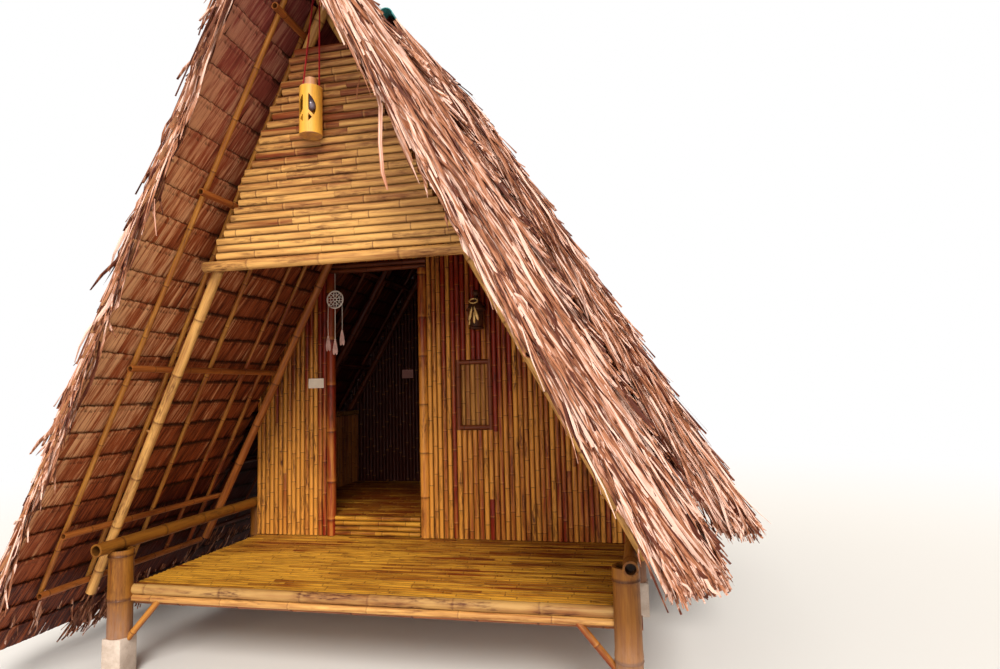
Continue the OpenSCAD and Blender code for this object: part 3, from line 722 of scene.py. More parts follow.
# The wall deepens in tone upwards and towards the right: partly its own redder colour, partly painted shade
# under the roof
bamboo_wall = bamboo(
    "bamboo wall", rgba(0.73, 0.30, 0.046), rgba(0.235, 0.017, 0.005), rgba(0.07, 0.010, 0.004), stains=1.1,
    gloss=0.8, deeper=[(2, deck_z + 0.6, deck_z + 1.9, 0.80), (0, ridge_x - 0.3, ridge_x + 1.2, 0.32)])
bamboo_post = bamboo(
    "bamboo post", rgba(0.28, 0.108, 0.013), rgba(0.12, 0.028, 0.004), rgba(0.05, 0.012, 0.004), stains=0.9,
    dusty=True)
bamboo_pale = bamboo(
    "bamboo pale", rgba(0.47, 0.24, 0.062), rgba(0.20, 0.052, 0.014), rgba(0.09, 0.022, 0.009), stains=1.2)
bamboo_edge = bamboo(
    "bamboo edge", rgba(0.43, 0.24, 0.075), rgba(0.20, 0.055, 0.013), rgba(0.07, 0.015, 0.007), stains=1.7,
    patches=0.40)
bamboo_straw = bamboo(
    "bamboo straw", rgba(0.69, 0.37, 0.108), rgba(0.17, 0.032, 0.006), rgba(0.08, 0.015, 0.004), stains=1.0)
bamboo_orange = bamboo(
    "bamboo orange", rgba(0.42, 0.135, 0.026), rgba(0.14, 0.023, 0.006), rgba(0.05, 0.010, 0.004), stains=0.7)
bamboo_dark = bamboo(
    "bamboo dark", rgba(0.20, 0.046, 0.013), rgba(0.055, 0.008, 0.004), rgba(0.025, 0.005, 0.003), stains=0.5)
# The rear wall's face towards the room is painted deep: painted shade inside the room
bamboo_rear = bamboo(
    "bamboo rear", rgba(0.62, 0.27, 0.050), rgba(0.060, 0.010, 0.004), rgba(0.05, 0.010, 0.004), stains=0.7,
    deeper=[(1, front_y + rear_wall_front + 0.034, front_y + rear_wall_front + 0.018, 1.60)])
# The deck deepens in tone towards the back and the right: painted shade under the porch roof
bamboo_deck = bamboo(
    "bamboo deck", rgba(0.63, 0.30, 0.032), rgba(0.16, 0.022, 0.004), rgba(0.07, 0.011, 0.004), stains=1.0,
    gloss=0.9, deeper=[(1, front_y + 0.3, front_y + 1.4, 0.34), (0, ridge_x + 0.2, ridge_x + 1.4, 0.18)],
    patches=0.30)
palm_out = palm(
    "palm outside", rgba(0.085, 0.018, 0.008), rgba(0.39, 0.150, 0.072), rgba(0.80, 0.53, 0.43), ribs=0.9)
palm_in = palm(
    "palm underside", rgba(0.050, 0.006, 0.003), rgba(0.31, 0.070, 0.021), rgba(0.74, 0.39, 0.19), ribs=0.45,
    high=(rgba(0.26, 0.056, 0.050), rgba(0.46, 0.19, 0.13)))


def grit(name, light, dark, scale, smooth, coarse, depth, specular=0.4, metallic=0.0):
    """A cast or moulded material"""
    settings = {
        "Light": light, "Dark": dark, "Scale": scale, "Smooth": smooth, "Coarse": coarse, "Depth": depth}
    return new_material(name, grit_group, settings, specular, metallic)[0]


def make_lantern_bamboo():
    """Yellow bamboo whose grain follows Object coordinates, with a brown foot and a pinkish neck"""
    settings = {"Deep": rgba(0.62, 0.30, 0.04), "Stain": rgba(0.2, 0.06, 0.02), "Stains": 0.3, "Tone": 0.3}
    material, w, node = new_material("lantern bamboo", bamboo_group, settings)
    low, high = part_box("lantern_body")
    height = w.split(w.place())[2]
    above_foot = w.span(height, low.z + 0.001, low.z + 0.004)
    in_neck = w.span(height, high.z - 0.052, high.z - 0.047)
    color = w.mix(above_foot, rgba(0.36, 0.16, 0.06), rgba(0.86, 0.44, 0.055))
    color = w.mix(in_neck, color, rgba(0.62, 0.30, 0.17))
    w.put(node.inputs["Light"], color)
    w.put(node.inputs["Grain"], w.place())
    return material


def make_white_plate():
    """White plastic, darker and browner on the rear wall: painted shade inside the room"""
    settings = {"Scale": 25, "Smooth": 0.35, "Coarse": 0.55, "Depth": 0.0003}
    material, w, node = new_material("white plate", grit_group, settings)
    rear = w.span(w.split(w.place())[1], front_y + wall_front + 0.1, front_y + rear_wall_front - 0.1)
    w.put(node.inputs["Light"], w.mix(rear, rgba(0.97, 0.84, 0.68), rgba(0.50, 0.22, 0.19)))
    w.put(node.inputs["Dark"], w.mix(rear, rgba(0.80, 0.66, 0.52), rgba(0.42, 0.18, 0.15)))
    return material


lantern_bamboo = make_lantern_bamboo()
concrete = grit(
    "concrete", rgba(0.62, 0.52, 0.44), rgba(0.36, 0.27, 0.21),
    scale=22, smooth=0.75, coarse=0.95, depth=0.004, specular=0.2)
teal_plastic = grit(
    "teal plastic", rgba(0.02, 0.28, 0.29), rgba(0.05, 0.16, 0.15),
    scale=9, smooth=0.35, coarse=0.6, depth=0.0006)
red_cord = grit(
    "red cord", rgba(0.50, 0.012, 0.02), rgba(0.26, 0.006, 0.012),
    scale=150, smooth=0.7, coarse=0.9, depth=0.0004)
dark_metal = grit(
    "dark metal", rgba(0.11, 0.035, 0.014), rgba(0.03, 0.010, 0.005),
    scale=60, smooth=0.4, coarse=0.6, depth=0.0006, specular=0.2)
brass = grit(
    "brass", rgba(1.0, 0.66, 0.24), rgba(0.70, 0.38, 0.10),
    scale=80, smooth=0.3, coarse=0.5, depth=0.0004, specular=0.5, metallic=0.3)
thread_white = grit(
    "white thread", rgba(1.0, 0.90, 0.80), rgba(0.88, 0.72, 0.62),
    scale=120, smooth=0.7, coarse=0.9, depth=0.0005, specular=0.2)
feather_pink = grit(
    "pink feather", rgba(0.80, 0.50, 0.43), rgba(0.45, 0.22, 0.17),
    scale=60, smooth=0.6, coarse=0.8, depth=0.0005, specular=0.2)
white_plate = make_white_plate()
bulb_glass = grit(
    "grey bulb", rgba(0.36, 0.30, 0.36), rgba(0.22, 0.17, 0.22),
    scale=20, smooth=0.12, coarse=0.25, depth=0.0002, specular=0.6)

slot_materials = {
    "bamboo_gold": bamboo_gold, "bamboo_pale": bamboo_pale, "bamboo_orange": bamboo_orange,
    "bamboo_dark": bamboo_dark, "thatch": palm_out, "concrete": concrete, "teal_plastic": teal_plastic,
    "red_cord": red_cord, "dark_metal": dark_metal, "catcher_thread": thread_white,
    "white_plastic": white_plate,
}
for part in frame["record"]["subparts"]:
    data = frame["nodes"][part["node"]].data
    data.materials.clear()
    data.materials.append(slot_materials[part["material_slot"]])
frame["nodes"]["lantern_body"].data.materials[0] = lantern_bamboo


# Posts, floors' frames and roof frames. The front posts have their nodes where the photograph shows them, at
# these heights over the ground.
left_post_nodes = (0.43, 0.675)
right_post_nodes = (0.27, 0.645)


def build_front_posts():
    """The two thick posts under the porch"""
    dice = dice_for("front_post_culms")
    bundle = Bundle()
    for start, end, radius in rods("front_posts", True):
        heights = left_post_nodes if start.x < ridge_x else right_post_nodes
        rings = [height - start.z for height in heights]
        shape = culm(end.z - start.z, radius * front_post_slim, dice, sides=24, nodes=rings)
        bundle.add(shape, lay(start, end, (0.3, 1, 0)), 0.35, dice.uniform(0, 90))
    bundle.piece("front_post_culms", bamboo_post, ["front_posts"])


def build_door_posts():
    """The post on the door's left is deep brown, and the one on its right golden"""
    dice = dice_for("door_post_culms")
    bundle = Bundle()
    posts = sorted(rods("door_posts", True), key=lambda rod: rod[0].x)
    for (start, end, radius), tone in zip(posts, (0.85, 0.10)):
        shape = culm(end.z - start.z, radius * slim, dice, sides=16, spacing=0.34)
        bundle.add(shape, lay(start, end, (0.3, 1, 0)), tone, dice.uniform(0, 90))
    bundle.piece("door_post_culms", bamboo_wall, ["door_posts"])


def build_poles():
    """Culms for the posts, rails, floor frames and roof frames"""
    for part in ("middle", "rear"):
        poles(f"{part}_post_culms", f"{part}_posts", bamboo_post, 0.5, spacing=0.34, sides=16,
              upright=True)
    poles("brace_culms", "deck_braces", bamboo_gold, 0.7, spacing=0.2)
    poles("side_rail_culms", "side_rails", bamboo_post, 0.25, spacing=0.33, sides=16)
    poles("deck_edge_upper_culm", "deck_edge_upper", bamboo_edge, 0.42, spacing=0.46,
          sides=14, ringed=0.55)
    poles("deck_edge_lower_culm", "deck_edge_lower", bamboo_straw, 0.40, spacing=0.46,
          sides=14, ringed=0.7)
    poles("bearer_culms", "floor_bearers", bamboo_orange, 0.6, spacing=0.34)
    poles("joist_culms", "floor_joists", bamboo_orange, 0.6, spacing=0.34, sides=10)
    for part, tone in (("front_left", 0.15), ("front_right", 0.1)):
        poles(f"{part}_rafter_culm", f"{part}_rafter", bamboo_straw, tone, spacing=0.36,
              sides=14, bow=0.004, stubs=0.3, ringed=0.9)
    poles("inner_rafter_culms", "inner_rafters", bamboo_orange, 0.3, spacing=0.36, sides=14,
          bow=0.004)
    poles("porch_thin_rafter_culms", "porch_thin_rafters", bamboo_gold, 0.35, spacing=0.33,
          sides=10, bow=0.009, stubs=0.25, painted_rear_shade=0.6)
    poles("porch_purlin_culms", "porch_purlins", bamboo_orange, 0.40, spacing=0.28, sides=10,
          bow=0.004)
    poles("gable_beam_culm", "gable_beam", bamboo_straw, 0.35, spacing=0.42, sides=14,
          ringed=0.6)
    poles("ridge_pole_culms", "ridge_poles", bamboo_orange, 0.7, spacing=0.33)
    poles("door_header_culms", "door_header", bamboo_dark, 0.3, spacing=0.28)
    poles("knee_rail_culms", "knee_rails", bamboo_pale, 0.55)
    poles("main_rafter_culms", "main_rafters", bamboo_dark, 0.6, spacing=0.36, sides=10)
    poles("main_purlin_culms", "main_purlins", bamboo_dark, 0.6, sides=10)
    poles("main_thin_rafter_culms", "main_thin_rafters", bamboo_dark, 0.5, spacing=0.33,
          sides=8)


def build_footings():
    """Cast blocks with worn edges"""
    bundle = Bundle()
    dice = dice_for("footing_blocks")
    for points in solids_of("footings"):
        low, high = points.min(0), points.max(0)
        bm = bmesh.new()
        bmesh.ops.create_cube(bm, size=1.0)
        for vert in bm.verts:
            vert.co = [v * s for v, s in zip(vert.co, high - low)]
        bmesh.ops.bevel(
            bm, geom=bm.edges[:], offset=0.006, affect="EDGES", segments=2, profile=0.5, material=-1)
        bundle.add(shape_of(bm), Matrix.Translation((low + high) / 2), 0.5, dice.uniform(0, 90))
    bundle.piece("footing_blocks", concrete, ["footings"], sharp=30)


build_front_posts()
build_door_posts()
build_poles()
build_footings()


wall_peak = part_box("rear_wall")[1].z
# A culm's flat top is as high as the leaves this far inward from its axis, so no light comes in over it
leaf_bite = 0.62 * culm_pitch


def wall_top(x):
    """Height of a wall's top: in the thatch's inner leaves, and level under the ridge pole"""
    inner_edge = abs(x) - leaf_bite
    leaves_z = main_roof.crossing + thatch_inner / math.cos(main_roof.pitch)
    return min(leaves_z - inner_edge * math.tan(main_roof.pitch), wall_peak)


def wall_tone(point):
    """Split wall culms are a little deeper in their upper length: partly their own redder colour, partly
    painted shade under the roof
    """
    return 0.10 + 0.10 * min(1.0, max(0.0, (point.z - deck_z - 1.0) / 1.2))


def upright_culms(bundle, x0, x1, y, foot, top, dice, tone, split, spread=0.36, spacing=0.24, sides=12):
    """A stretch of wall made of upright culms between two X"""
    count = max(1, round((x1 - x0) / culm_pitch))
    pitch = (x1 - x0) / count
    xs = [x0 + (i + 0.5) * pitch for i in range(count)]
    starts = [spot(x, y + dice.uniform(-0.002, 0.002), foot) for x in xs]
    ends = [spot(x, y, top(x)) for x in xs]
    radius = pitch / 2 * wall_squeeze
    row(bundle, starts, ends, (1, 0, 0), radius, dice, tone, spread, split=split, spacing=spacing,
        sides=sides, joined=1.0)


# The doorway and its two posts lie between these X
door_left = -0.823
door_right = -0.005


def build_front_wall():
    """The wall on the doorway's left, the wall on its right around the window, and the stretch over it"""
    y = wall_front + wall_thick / 2
    dice = dice_for("front_wall_left_culms")
    bundle = Bundle()
    upright_culms(bundle, -wall_half, door_left, y, deck_z, wall_top, dice, wall_tone, split=0.15)
    bundle.piece("front_wall_left_culms", bamboo_wall, ["front_wall_left"])

    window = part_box("window_frame")
    x0, x1 = window[0].x - ridge_x, window[1].x - ridge_x
    dice = dice_for("front_wall_right_culms")
    bundle = Bundle()
    upright_culms(bundle, door_right, x0, y, deck_z, wall_top, dice, wall_tone, split=0.3)
    upright_culms(bundle, x0, x1, y, deck_z, lambda x: window[0].z, dice, wall_tone, split=0.2)
    upright_culms(bundle, x0, x1, y, window[1].z, wall_top, dice, wall_tone, split=0.0)
    upright_culms(bundle, x1, wall_half, y, deck_z, wall_top, dice, wall_tone, split=0.35, spread=0.42)
    bundle.piece("front_wall_right_culms", bamboo_wall, ["front_wall_right"])

    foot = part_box("front_wall_head")[0].z
    dice = dice_for("front_wall_head_culms")
    bundle = Bundle()
    upright_culms(bundle, door_left, door_right, y, foot, wall_top, dice, wall_tone, split=0.0)
    bundle.piece("front_wall_head_culms", bamboo_wall, ["front_wall_head"])


def build_rear_wall():
    """The rear wall, which widens to the thatch over the side rails"""
    wing_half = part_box("rear_wall")[1].x - ridge_x
    wing_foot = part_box("side_rails")[1].z + 0.002
    y = rear_wall_front + wall_thick / 2
    stretches = (
        (-wing_half, -wall_half, wing_foot),
        (-wall_half, wall_half, deck_z),
        (wall_half, wing_half, wing_foot),
    )
    dice = dice_for("rear_wall_culms")
    bundle = Bundle()
    for x0, x1, foot in stretches:
        upright_culms(bundle, x0, x1, y, foot, wall_top, dice, lambda p: 0.2, split=0.0, spread=0.24,
                      spacing=0.34, sides=8)
    bundle.piece("rear_wall_culms", bamboo_rear, ["rear_wall"])


def build_knee_walls():
    """The room's low side walls"""
    for name in ("left_knee_wall", "right_knee_wall"):
        low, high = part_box(name)
        count = round((high.y - low.y) / culm_pitch)
        ys = middles(low.y, high.y, count)
        x = (low.x + high.x) / 2
        radius = (high.y - low.y) / count / 2 * wall_squeeze
        starts = [(x, y, low.z) for y in ys]
        ends = [(x, y, high.z) for y in ys]
        bundle = Bundle()
        row(bundle, starts, ends, (0, 1, 0), radius, dice_for(name), lambda p: 0.4, sides=8)
        bundle.piece(name + "_culms", bamboo_orange, [name])


def build_shutter():
    """Eight flattened culms in the window's recess"""
    low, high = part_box("window_shutter")
    count = 8
    xs = middles(low.x, high.x, count)
    y = (low.y + high.y) / 2
    radius = (high.x - low.x) / count / 2 * wall_squeeze
    starts = [(x, y, low.z) for x in xs]
    ends = [(x, y, high.z) for x in xs]
    dice = dice_for("shutter_culms")
    bundle = Bundle()
    row(bundle, starts, ends, (1, 0, 0), radius, dice, lambda p: 0.40, spread=0.3, flat=0.55)
    bundle.piece("shutter_culms", bamboo_gold, ["window_shutter"])


def build_window_frame():
    """Four culms around the window"""
    low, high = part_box("window_frame")
    radius = (high.y - low.y) / 2
    y = (low.y + high.y) / 2
    bars = [
        ((low.x + radius, y, low.z), (low.x + radius, y, high.z)),
        ((high.x - radius, y, low.z), (high.x - radius, y, high.z)),
        ((low.x + radius, y, low.z + radius), (high.x - radius, y, low.z + radius)),
        ((low.x + radius, y, high.z - radius), (high.x - radius, y, high.z - radius)),
    ]
    dice = dice_for("window_frame_culms")
    bundle = Bundle()
    for start, end in bars:
        length = (Vector(end) - Vector(start)).length
        shape = culm(length, radius * window_slim, dice, spacing=0.2)
        bundle.add(shape, lay(start, end, (0.2, 1, 0.1)), dice.uniform(0.0, 0.3), dice.uniform(0, 90))
    bundle.piece("window_frame_culms", bamboo_dark, ["window_frame"])


build_front_wall()
build_rear_wall()
build_knee_walls()
build_shutter()
build_window_frame()


def cut_points(low, high, pieces, dice):
    """Splits a length into pieces at uneven joints"""
    step = (high - low) / pieces
    inner = [low + (i + dice.uniform(-0.3, 0.3)) * step for i in range(1, pieces)]
    return [low, *inner, high]


def slats(name, node, pitch, tone, pieces, sides=10):
    """A floor of split culms that run across the hut, rounded on top"""
    low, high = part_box(node)
    dice = dice_for(name)
    count = round((high.y - low.y) / pitch)
    radius = (high.y - low.y) / count / 2 * split_squeeze
    half_thick = 0.009
    flat = half_thick / radius
    bundle = Bundle()
    for y in middles(low.y, high.y, count):
        cuts = cut_points(low.x, high.x, dice.integers(*pieces), dice)
        z = high.z - half_thick - dice.uniform(0, 0.003)
        starts = [(x, y, z) for x in cuts[:-1]]
        ends = [(x, y, z) for x in cuts[1:]]
        row(bundle, starts, ends, (0, 1, 0), radius, dice, tone, spread=0.24, flat=flat, spacing=0.34,
            sides=sides, joined=0.6)
    bundle.piece(name, bamboo_deck, [node])


def build_step():
    """Riser of culms laid on each other under the doorway"""
    low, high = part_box("door_step")
    count = 4
    zs = middles(low.z, high.z, count)
    y = (low.y + high.y) / 2
    radius = (high.z - low.z) / (2 * count) * wall_squeeze
    starts = [(low.x, y, z) for z in zs]
    ends = [(high.x, y, z) for z in zs]
    dice = dice_for("step_culms")
    bundle = Bundle()
    row(bundle, starts, ends, (0, 0, 1), radius, dice, lambda p: 0.05, spread=0.2, flat=1.05, split=1.0,
        spacing=0.22)
    bundle.piece("step_culms", bamboo_deck, ["door_step"])


# The front rafters lean about this line, at the height of the side rails
lean_foot_y = -0.023
lean_foot_z = 0.732
# The gable screen's foot and top up along the leaning frame, its place in front of it, and its rows
screen_foot = 1.587
screen_top = 2.651
screen_depth = -0.0845
screen_rows = 27
# How far the screen's rows reach past the rafters' axes
screen_reach = 0.029


def leaning(x, depth, height):
    """A point in the leaning front frame: across, behind its plane, and up along it"""
    y = lean_foot_y + depth * math.cos(front_lean) - height * math.sin(front_lean)
    z = lean_foot_z + depth * math.sin(front_lean) + height * math.cos(front_lean)
    return spot(x, y, z)


def build_screen():
    """Gable screen of split culms laid across the leaning frame, each row butted from a few lengths"""
    pitch = (screen_top - screen_foot) / screen_rows
    radius = pitch / 2 * split_squeeze
    up = (0, -math.sin(front_lean), math.cos(front_lean))
    dice = dice_for("screen_culms")
    bundle = Bundle()
    for i in range(screen_rows):
        height = screen_foot + (i + 0.5) * pitch
        below_crossing = porch_roof.crossing - lean_foot_z - height * math.cos(front_lean)
        half = below_crossing / math.tan(porch_roof.pitch) + screen_reach
        pieces = 1 if half < 0.25 else int(dice.integers(2, 4))
        cuts = cut_points(dice.uniform(0.0, 0.045) - half, half + dice.uniform(-0.01, 0.02), pieces, dice)
        for x0, x1 in zip(cuts, cuts[1:]):
            brown = 0.13 if dice.random() < 0.12 + 0.35 * i / screen_rows else 0.0
            # Rows deepen towards the top: painted shade under the overhang, partly the screen's own browner
            # colour
            base = 0.08 + 0.80 * (i / screen_rows) ** 1.1 + brown
            start = leaning(x0, screen_depth, height)
            end = leaning(x1, screen_depth, height)
            row(bundle, [start], [end], up, radius, dice, lambda p: base, spread=0.12, flat=0.65,
                spacing=0.42)
    bundle.piece("screen_culms", bamboo_straw, ["gable_screen"])


slats("deck_slats", "porch_deck", 0.0365, lambda p: 0.12, (2, 5))
# The room's floor is given a deeper tone than the porch's: painted shade inside the room
slats("room_slats", "room_floor", 0.042, lambda p: 0.62, (1, 3), sides=8)
build_step()
build_screen()


# Thatch. Strands lie in bunches over a packed core, which starts at core_inner from the rafters' axes and
# stays core_cover under the outer face. Strands in the thickness stay inner_gap off the inner face.
bunch_size = 4
core_inner = 0.120
core_cover = 0.040
inner_gap = 0.012
# The main thatch's core starts behind the porch thatch, with a thinner apron before it over the porch thatch
main_core_front = 0.93
apron_front = 0.585
apron_back = 0.95
apron_gap = 0.012
apron_inner = 0.03
apron_cover = 0.024
# The leaves of the porch's underside end on the purlins' rear ends, a little behind the inner rafters. Those
# of the main roof's underside start at its core.
porch_leaves_back = 1.0
main_leaves_front = 0.94


def blade(dice, steps=6, halves=2, fold=0.005, droop=0.0):
    """A folded leaf strand of unit length along X and unit width on Y, tapered at its tip"""
    bm = bmesh.new()
    bmesh.ops.create_grid(bm, x_segments=steps, y_segments=halves, size=0.5)
    arch = dice.uniform(-0.010, 0.016)
    bend = dice.uniform(-3.0, 3.0)
    wave, pace = dice.uniform(-1.3, 1.3), dice.uniform(5, 9)
    curl = dice.uniform(-0.010, 0.014)
    twist = dice.uniform(-0.006, 0.006)
    tip_from = dice.uniform(0.45, 0.75)
    for vert in bm.verts:
        t = vert.co.x + 0.5
        side = 2 * vert.co.y
        tip = max(0.0, (t - tip_from) / (1 - tip_from))
        width = 0.5 * (0.55 + 0.45 * min(1.0, t / 0.3)) * (1 - 0.9 * tip ** 1.5)
        sway = bend * t * t + wave * math.sin(pace * t)
        height = arch * math.sin(math.pi * t) + curl * t ** 3 - fold * abs(side) + twist * side * t
        height -= droop * t ** 2.5
        vert.co = (t, side * width + sway, height)
    return shape_of(bm)


def smooth_noise(a, b, phase):
    """A slow wave over two coordinates, between -1 and 1"""
    return (np.sin(2.1 * a + 1.3 * b + phase) + np.sin(4.7 * a - 3.1 * b + 2 * phase)
            + np.sin(1.1 * a + 7.3 * b - phase)) / 3


def mottled(dice, count):
    """Changes of tone from strand to strand, with some pale and some dark ones"""
    pick = dice.random(count)
    return dice.normal(0, 0.16, count) + 0.34 * (pick < 0.24) - 0.40 * (pick > 0.74)


def blade_places(points, along, normal, yaw, lift, length, width):
    """Places of blades that start at the points and run along, turned by yaw and lifted towards their tips"""
    count = len(points)
    along = np.broadcast_to(along, (count, 3))
    normal = np.broadcast_to(normal, (count, 3))
    normal = normal - along * (normal * along).sum(1)[:, None]
    normal = normal / np.linalg.norm(normal, axis=1)[:, None]
    across = np.cross(normal, along)
    x = along * np.cos(yaw)[:, None] + across * np.sin(yaw)[:, None]
    x = x * np.cos(lift)[:, None] + normal * np.sin(lift)[:, None]
    y = np.cross(normal, x)
    y /= np.linalg.norm(y, axis=1)[:, None]
    places = np.zeros((count, 4, 4))
    places[:, :3, 0] = x * length[:, None]
    places[:, :3, 1] = y * width[:, None]
    places[:, :3, 2] = np.cross(x, y)
    places[:, :3, 3] = points
    places[:, 3, 3] = 1
    return places


def slope_places(roof, side, z, y, away, yaw, lift, length, width):
    """Places of blades that run down a slope, at a height, a Y and a distance from the rafters' axes"""
    points = roof.point(side, z, y, away)
    return blade_places(points, roof.down(side), roof.out(side), yaw, lift, length, width)


def scatter(bundle, blades, places, tones, dice):
    """Shares the places out among the blade shapes"""
    kinds = dice.integers(0, len(blades), len(places))
    starts = dice.uniform(0, 90, len(places))
    for kind, shape in enumerate(blades):
        chosen = kinds == kind
        if chosen.any():
            bundle.add(shape, places[chosen], tones[chosen], starts[chosen])


def slope_strands(bundle, blades, roof, side, count, dice, seed):
    """Strands in bunches down the courses of a slope

    They start under the course above, and end near their own course's lower edge or droop over the next one.
    Under the main thatch's lap they lie flat.
    """
    eave = eaves[side]
    fall = roof.ridge - eave
    bunch = np.arange(count) // bunch_size
    bunches = bunch[-1] + 1

    def bunched(values, spread):
        return values[bunch] + dice.normal(0, spread, count)

    course = dice.integers(0, course_count, bunches)[bunch]
    drooping = (dice.random(bunches) < 0.45)[bunch]
    first = bunched(dice.uniform(-0.25, 0.75, bunches), 0.07)
    last = 1 + bunched(dice.normal(0.06, 0.17, bunches), 0.08)
    last += drooping * bunched(dice.uniform(0.4, 1, bunches), 0.1)
    first = np.where(course == 0, np.minimum(first, 0.15), first)
    z = np.minimum(roof.ridge - fall * (course + first) / course_count, roof.ridge - 0.012)
    z_end = roof.ridge - fall * (course + np.maximum(last, first + 0.3)) / course_count
    z_end = np.maximum(z_end, eave + dice.uniform(0.0, 0.06, count))
    last = (roof.ridge - z_end) / fall * course_count - course
    length = np.maximum((z - z_end) / math.sin(roof.pitch), 0.08)
    front = roof.front(z, roof.outer(z, eave))
    firsts = front[::bunch_size]
    y = bunched(firsts + (roof.back - firsts) * dice.random(bunches), 0.018)
    y = np.clip(y, front + 0.004, roof.back)
    share = (course + 0.5) / course_count
    depth = np.clip(bunched(dice.random(bunches) ** 1.4, 0.12), 0, 1.2)
    lapped = (y > lap_y) & (roof is porch_roof)
    sunk = 0.002 + 0.030 * depth + 0.008 * lapped + 0.010 * (y < front + 0.10)
    away = roof.outer(z, eave) + roof.course_rise(share, first) - sunk
    away_end = roof.outer(z_end, eave) + roof.course_rise(share, np.where(lapped, 1, last)) - sunk
    lift = (away_end - away) / length + dice.normal(0.004, 0.010, count) * (1 - lapped) / length
    # Strands near the front follow the verge, and none crosses it
    lean = math.tan(roof.lean) * math.sin(roof.pitch) * np.clip(1 - (y - front) / (roof.back - front), 0, 1)
    yaw = lean + np.radians(4 * smooth_noise(2 * y, z, seed + 1) + bunched(dice.normal(0, 4.5, bunches), 2.5))
    least = (roof.front(z_end, roof.outer(z_end, eave)) + 0.004 - y) / length
    most = (roof.back + 0.02 - y) / length
    yaw = side * np.clip(yaw, least, most)
    low = depth > 0.45
    width = dice.uniform(0.007, 0.018, count) * np.where(low, 2.0, 1.0)
    # Strands that lie deeper are darker: painted shade inside the thatch
    tone = 0.54 + 0.14 * smooth_noise(y, z * 1.3, seed) - 0.46 * depth
    tone += bunched(dice.normal(0, 0.14, bunches), 0.05) + mottled(dice, count)
    places = slope_places(roof, side, z, y, away, yaw, lift, length, width)
    plain = [blade(dice, steps=4, halves=1, fold=0.0) for _ in range(5)]
    sorts = ((low, plain), (drooping & ~low, make_blades(dice, course_step)), (~drooping & ~low, blades))
    for chosen, shapes in sorts:
        scatter(bundle, shapes, places[chosen], tone[chosen], dice)


def verge_strands(bundle, blades, roof, side, count, dice, low, high, facing, tone, lengths, widths, wander,
                  sink):
    """Strands down the front verge between two distances from the rafters' axes, each by height"""
    eave = eaves[side]
    z = roof.ridge - (roof.ridge - eave - 0.09) * dice.random(count)
    away = low(z) + (high(z) - low(z)) * dice.random(count)
    y = roof.front(z, away) + sink + dice.uniform(-0.012, 0.014, count)
    wished = dice.uniform(*lengths, count)
    length = np.minimum(wished, (z - eave - dice.uniform(0, 0.06, count)) / math.sin(roof.pitch))
    width = dice.uniform(*widths, count)
    along = roof.down(side) + (0, math.tan(roof.lean) * math.sin(roof.pitch), 0)
    normal = np.array((0.0, -1.0, 0.0)) + roof.out(side) * (facing + dice.normal(0, 0.35, count))[:, None]
    yaw = np.radians(np.clip(dice.normal(0, wander, count), -7, 7))
    lift = dice.normal(0.0, 0.008, count) / length
    tones = tone + 0.12 * smooth_noise(z * 2, away * 30, 2.0) + mottled(dice, count)
    places = blade_places(roof.point(side, z, y, away), along / np.linalg.norm(along), normal, yaw, lift,
                          length, width)
    scatter(bundle, blades, places, tones, dice)


def rear_strands(bundle, blades, roof, side, count, dice):
    """Strands along the rear verge, through the whole thickness"""
    eave = eaves[side]
    z = roof.ridge + 0.02 - (roof.ridge - eave - 0.12) * dice.random(count)
    inner = thatch_inner + inner_gap
    away = inner + (roof.surface(z, eave) - inner) * dice.random(count)
    y = roof.back + dice.uniform(-0.03, 0.02, count)
    length = np.minimum(dice.uniform(0.3, 0.8, count), (z - eave - 0.02) / math.sin(roof.pitch))
    width = dice.uniform(0.012, 0.030, count)
    normal = np.array((0.0, 1.0, 0.0)) + roof.out(side) * dice.normal(0.2, 0.5, count)[:, None]
    yaw = np.radians(dice.normal(0, 4, count))
    lift = dice.normal(0.008, 0.014, count) / length
    places = blade_places(roof.point(side, z, y, away), roof.down(side), normal, yaw, lift, length, width)
    scatter(bundle, blades, places, 0.45 + dice.normal(0, 0.2, count), dice)


def eave_strands(bundle, blades, roof, side, count, dice):
    """Short strands through the thickness at the ragged eave"""
    eave = eaves[side]
    z = eave + dice.uniform(0.10, 0.34, count)
    inner = thatch_inner + inner_gap
    away = inner + (roof.surface(z, eave) - inner) * dice.random(count)
    front = roof.front(z, away)
    y = front + (roof.back - front) * dice.random(count)
    length = (z - eave + 0.02 - dice.uniform(0, 0.10, count)) / math.sin(roof.pitch)
    width = dice.uniform(0.010, 0.024, count)
    yaw = np.radians(dice.normal(0, 6, count))
    lift = dice.normal(0, 0.02, count) / length
    tone = 0.36 + dice.normal(0, 0.16, count)
    places = slope_places(roof, side, z, y, away, yaw, lift, length, width)
    scatter(bundle, blades, places, tone, dice)


def hem_strands(bundle, blades, roof, side, count, dice, start):
    """Long leaf ends that hang from the inner edge of the eave, behind a given Y"""
    eave = eaves[side]
    y = start + (roof.back - start) * dice.random(count)
    z = eave + dice.uniform(0.08, 0.16, count)
    away = thatch_inner + dice.uniform(0.006, 0.040, count)
    length = (z - eave + dice.uniform(0.08, 0.15, count)) / math.sin(roof.pitch)
    yaw = np.radians(dice.normal(0, 5, count))
    lift = dice.normal(-0.02, 0.03, count)
    width = dice.uniform(0.016, 0.032, count)
    places = slope_places(roof, side, z, y, away, yaw, lift, length, width)
    scatter(bundle, blades, places, 0.25 + dice.normal(0, 0.14, count), dice)


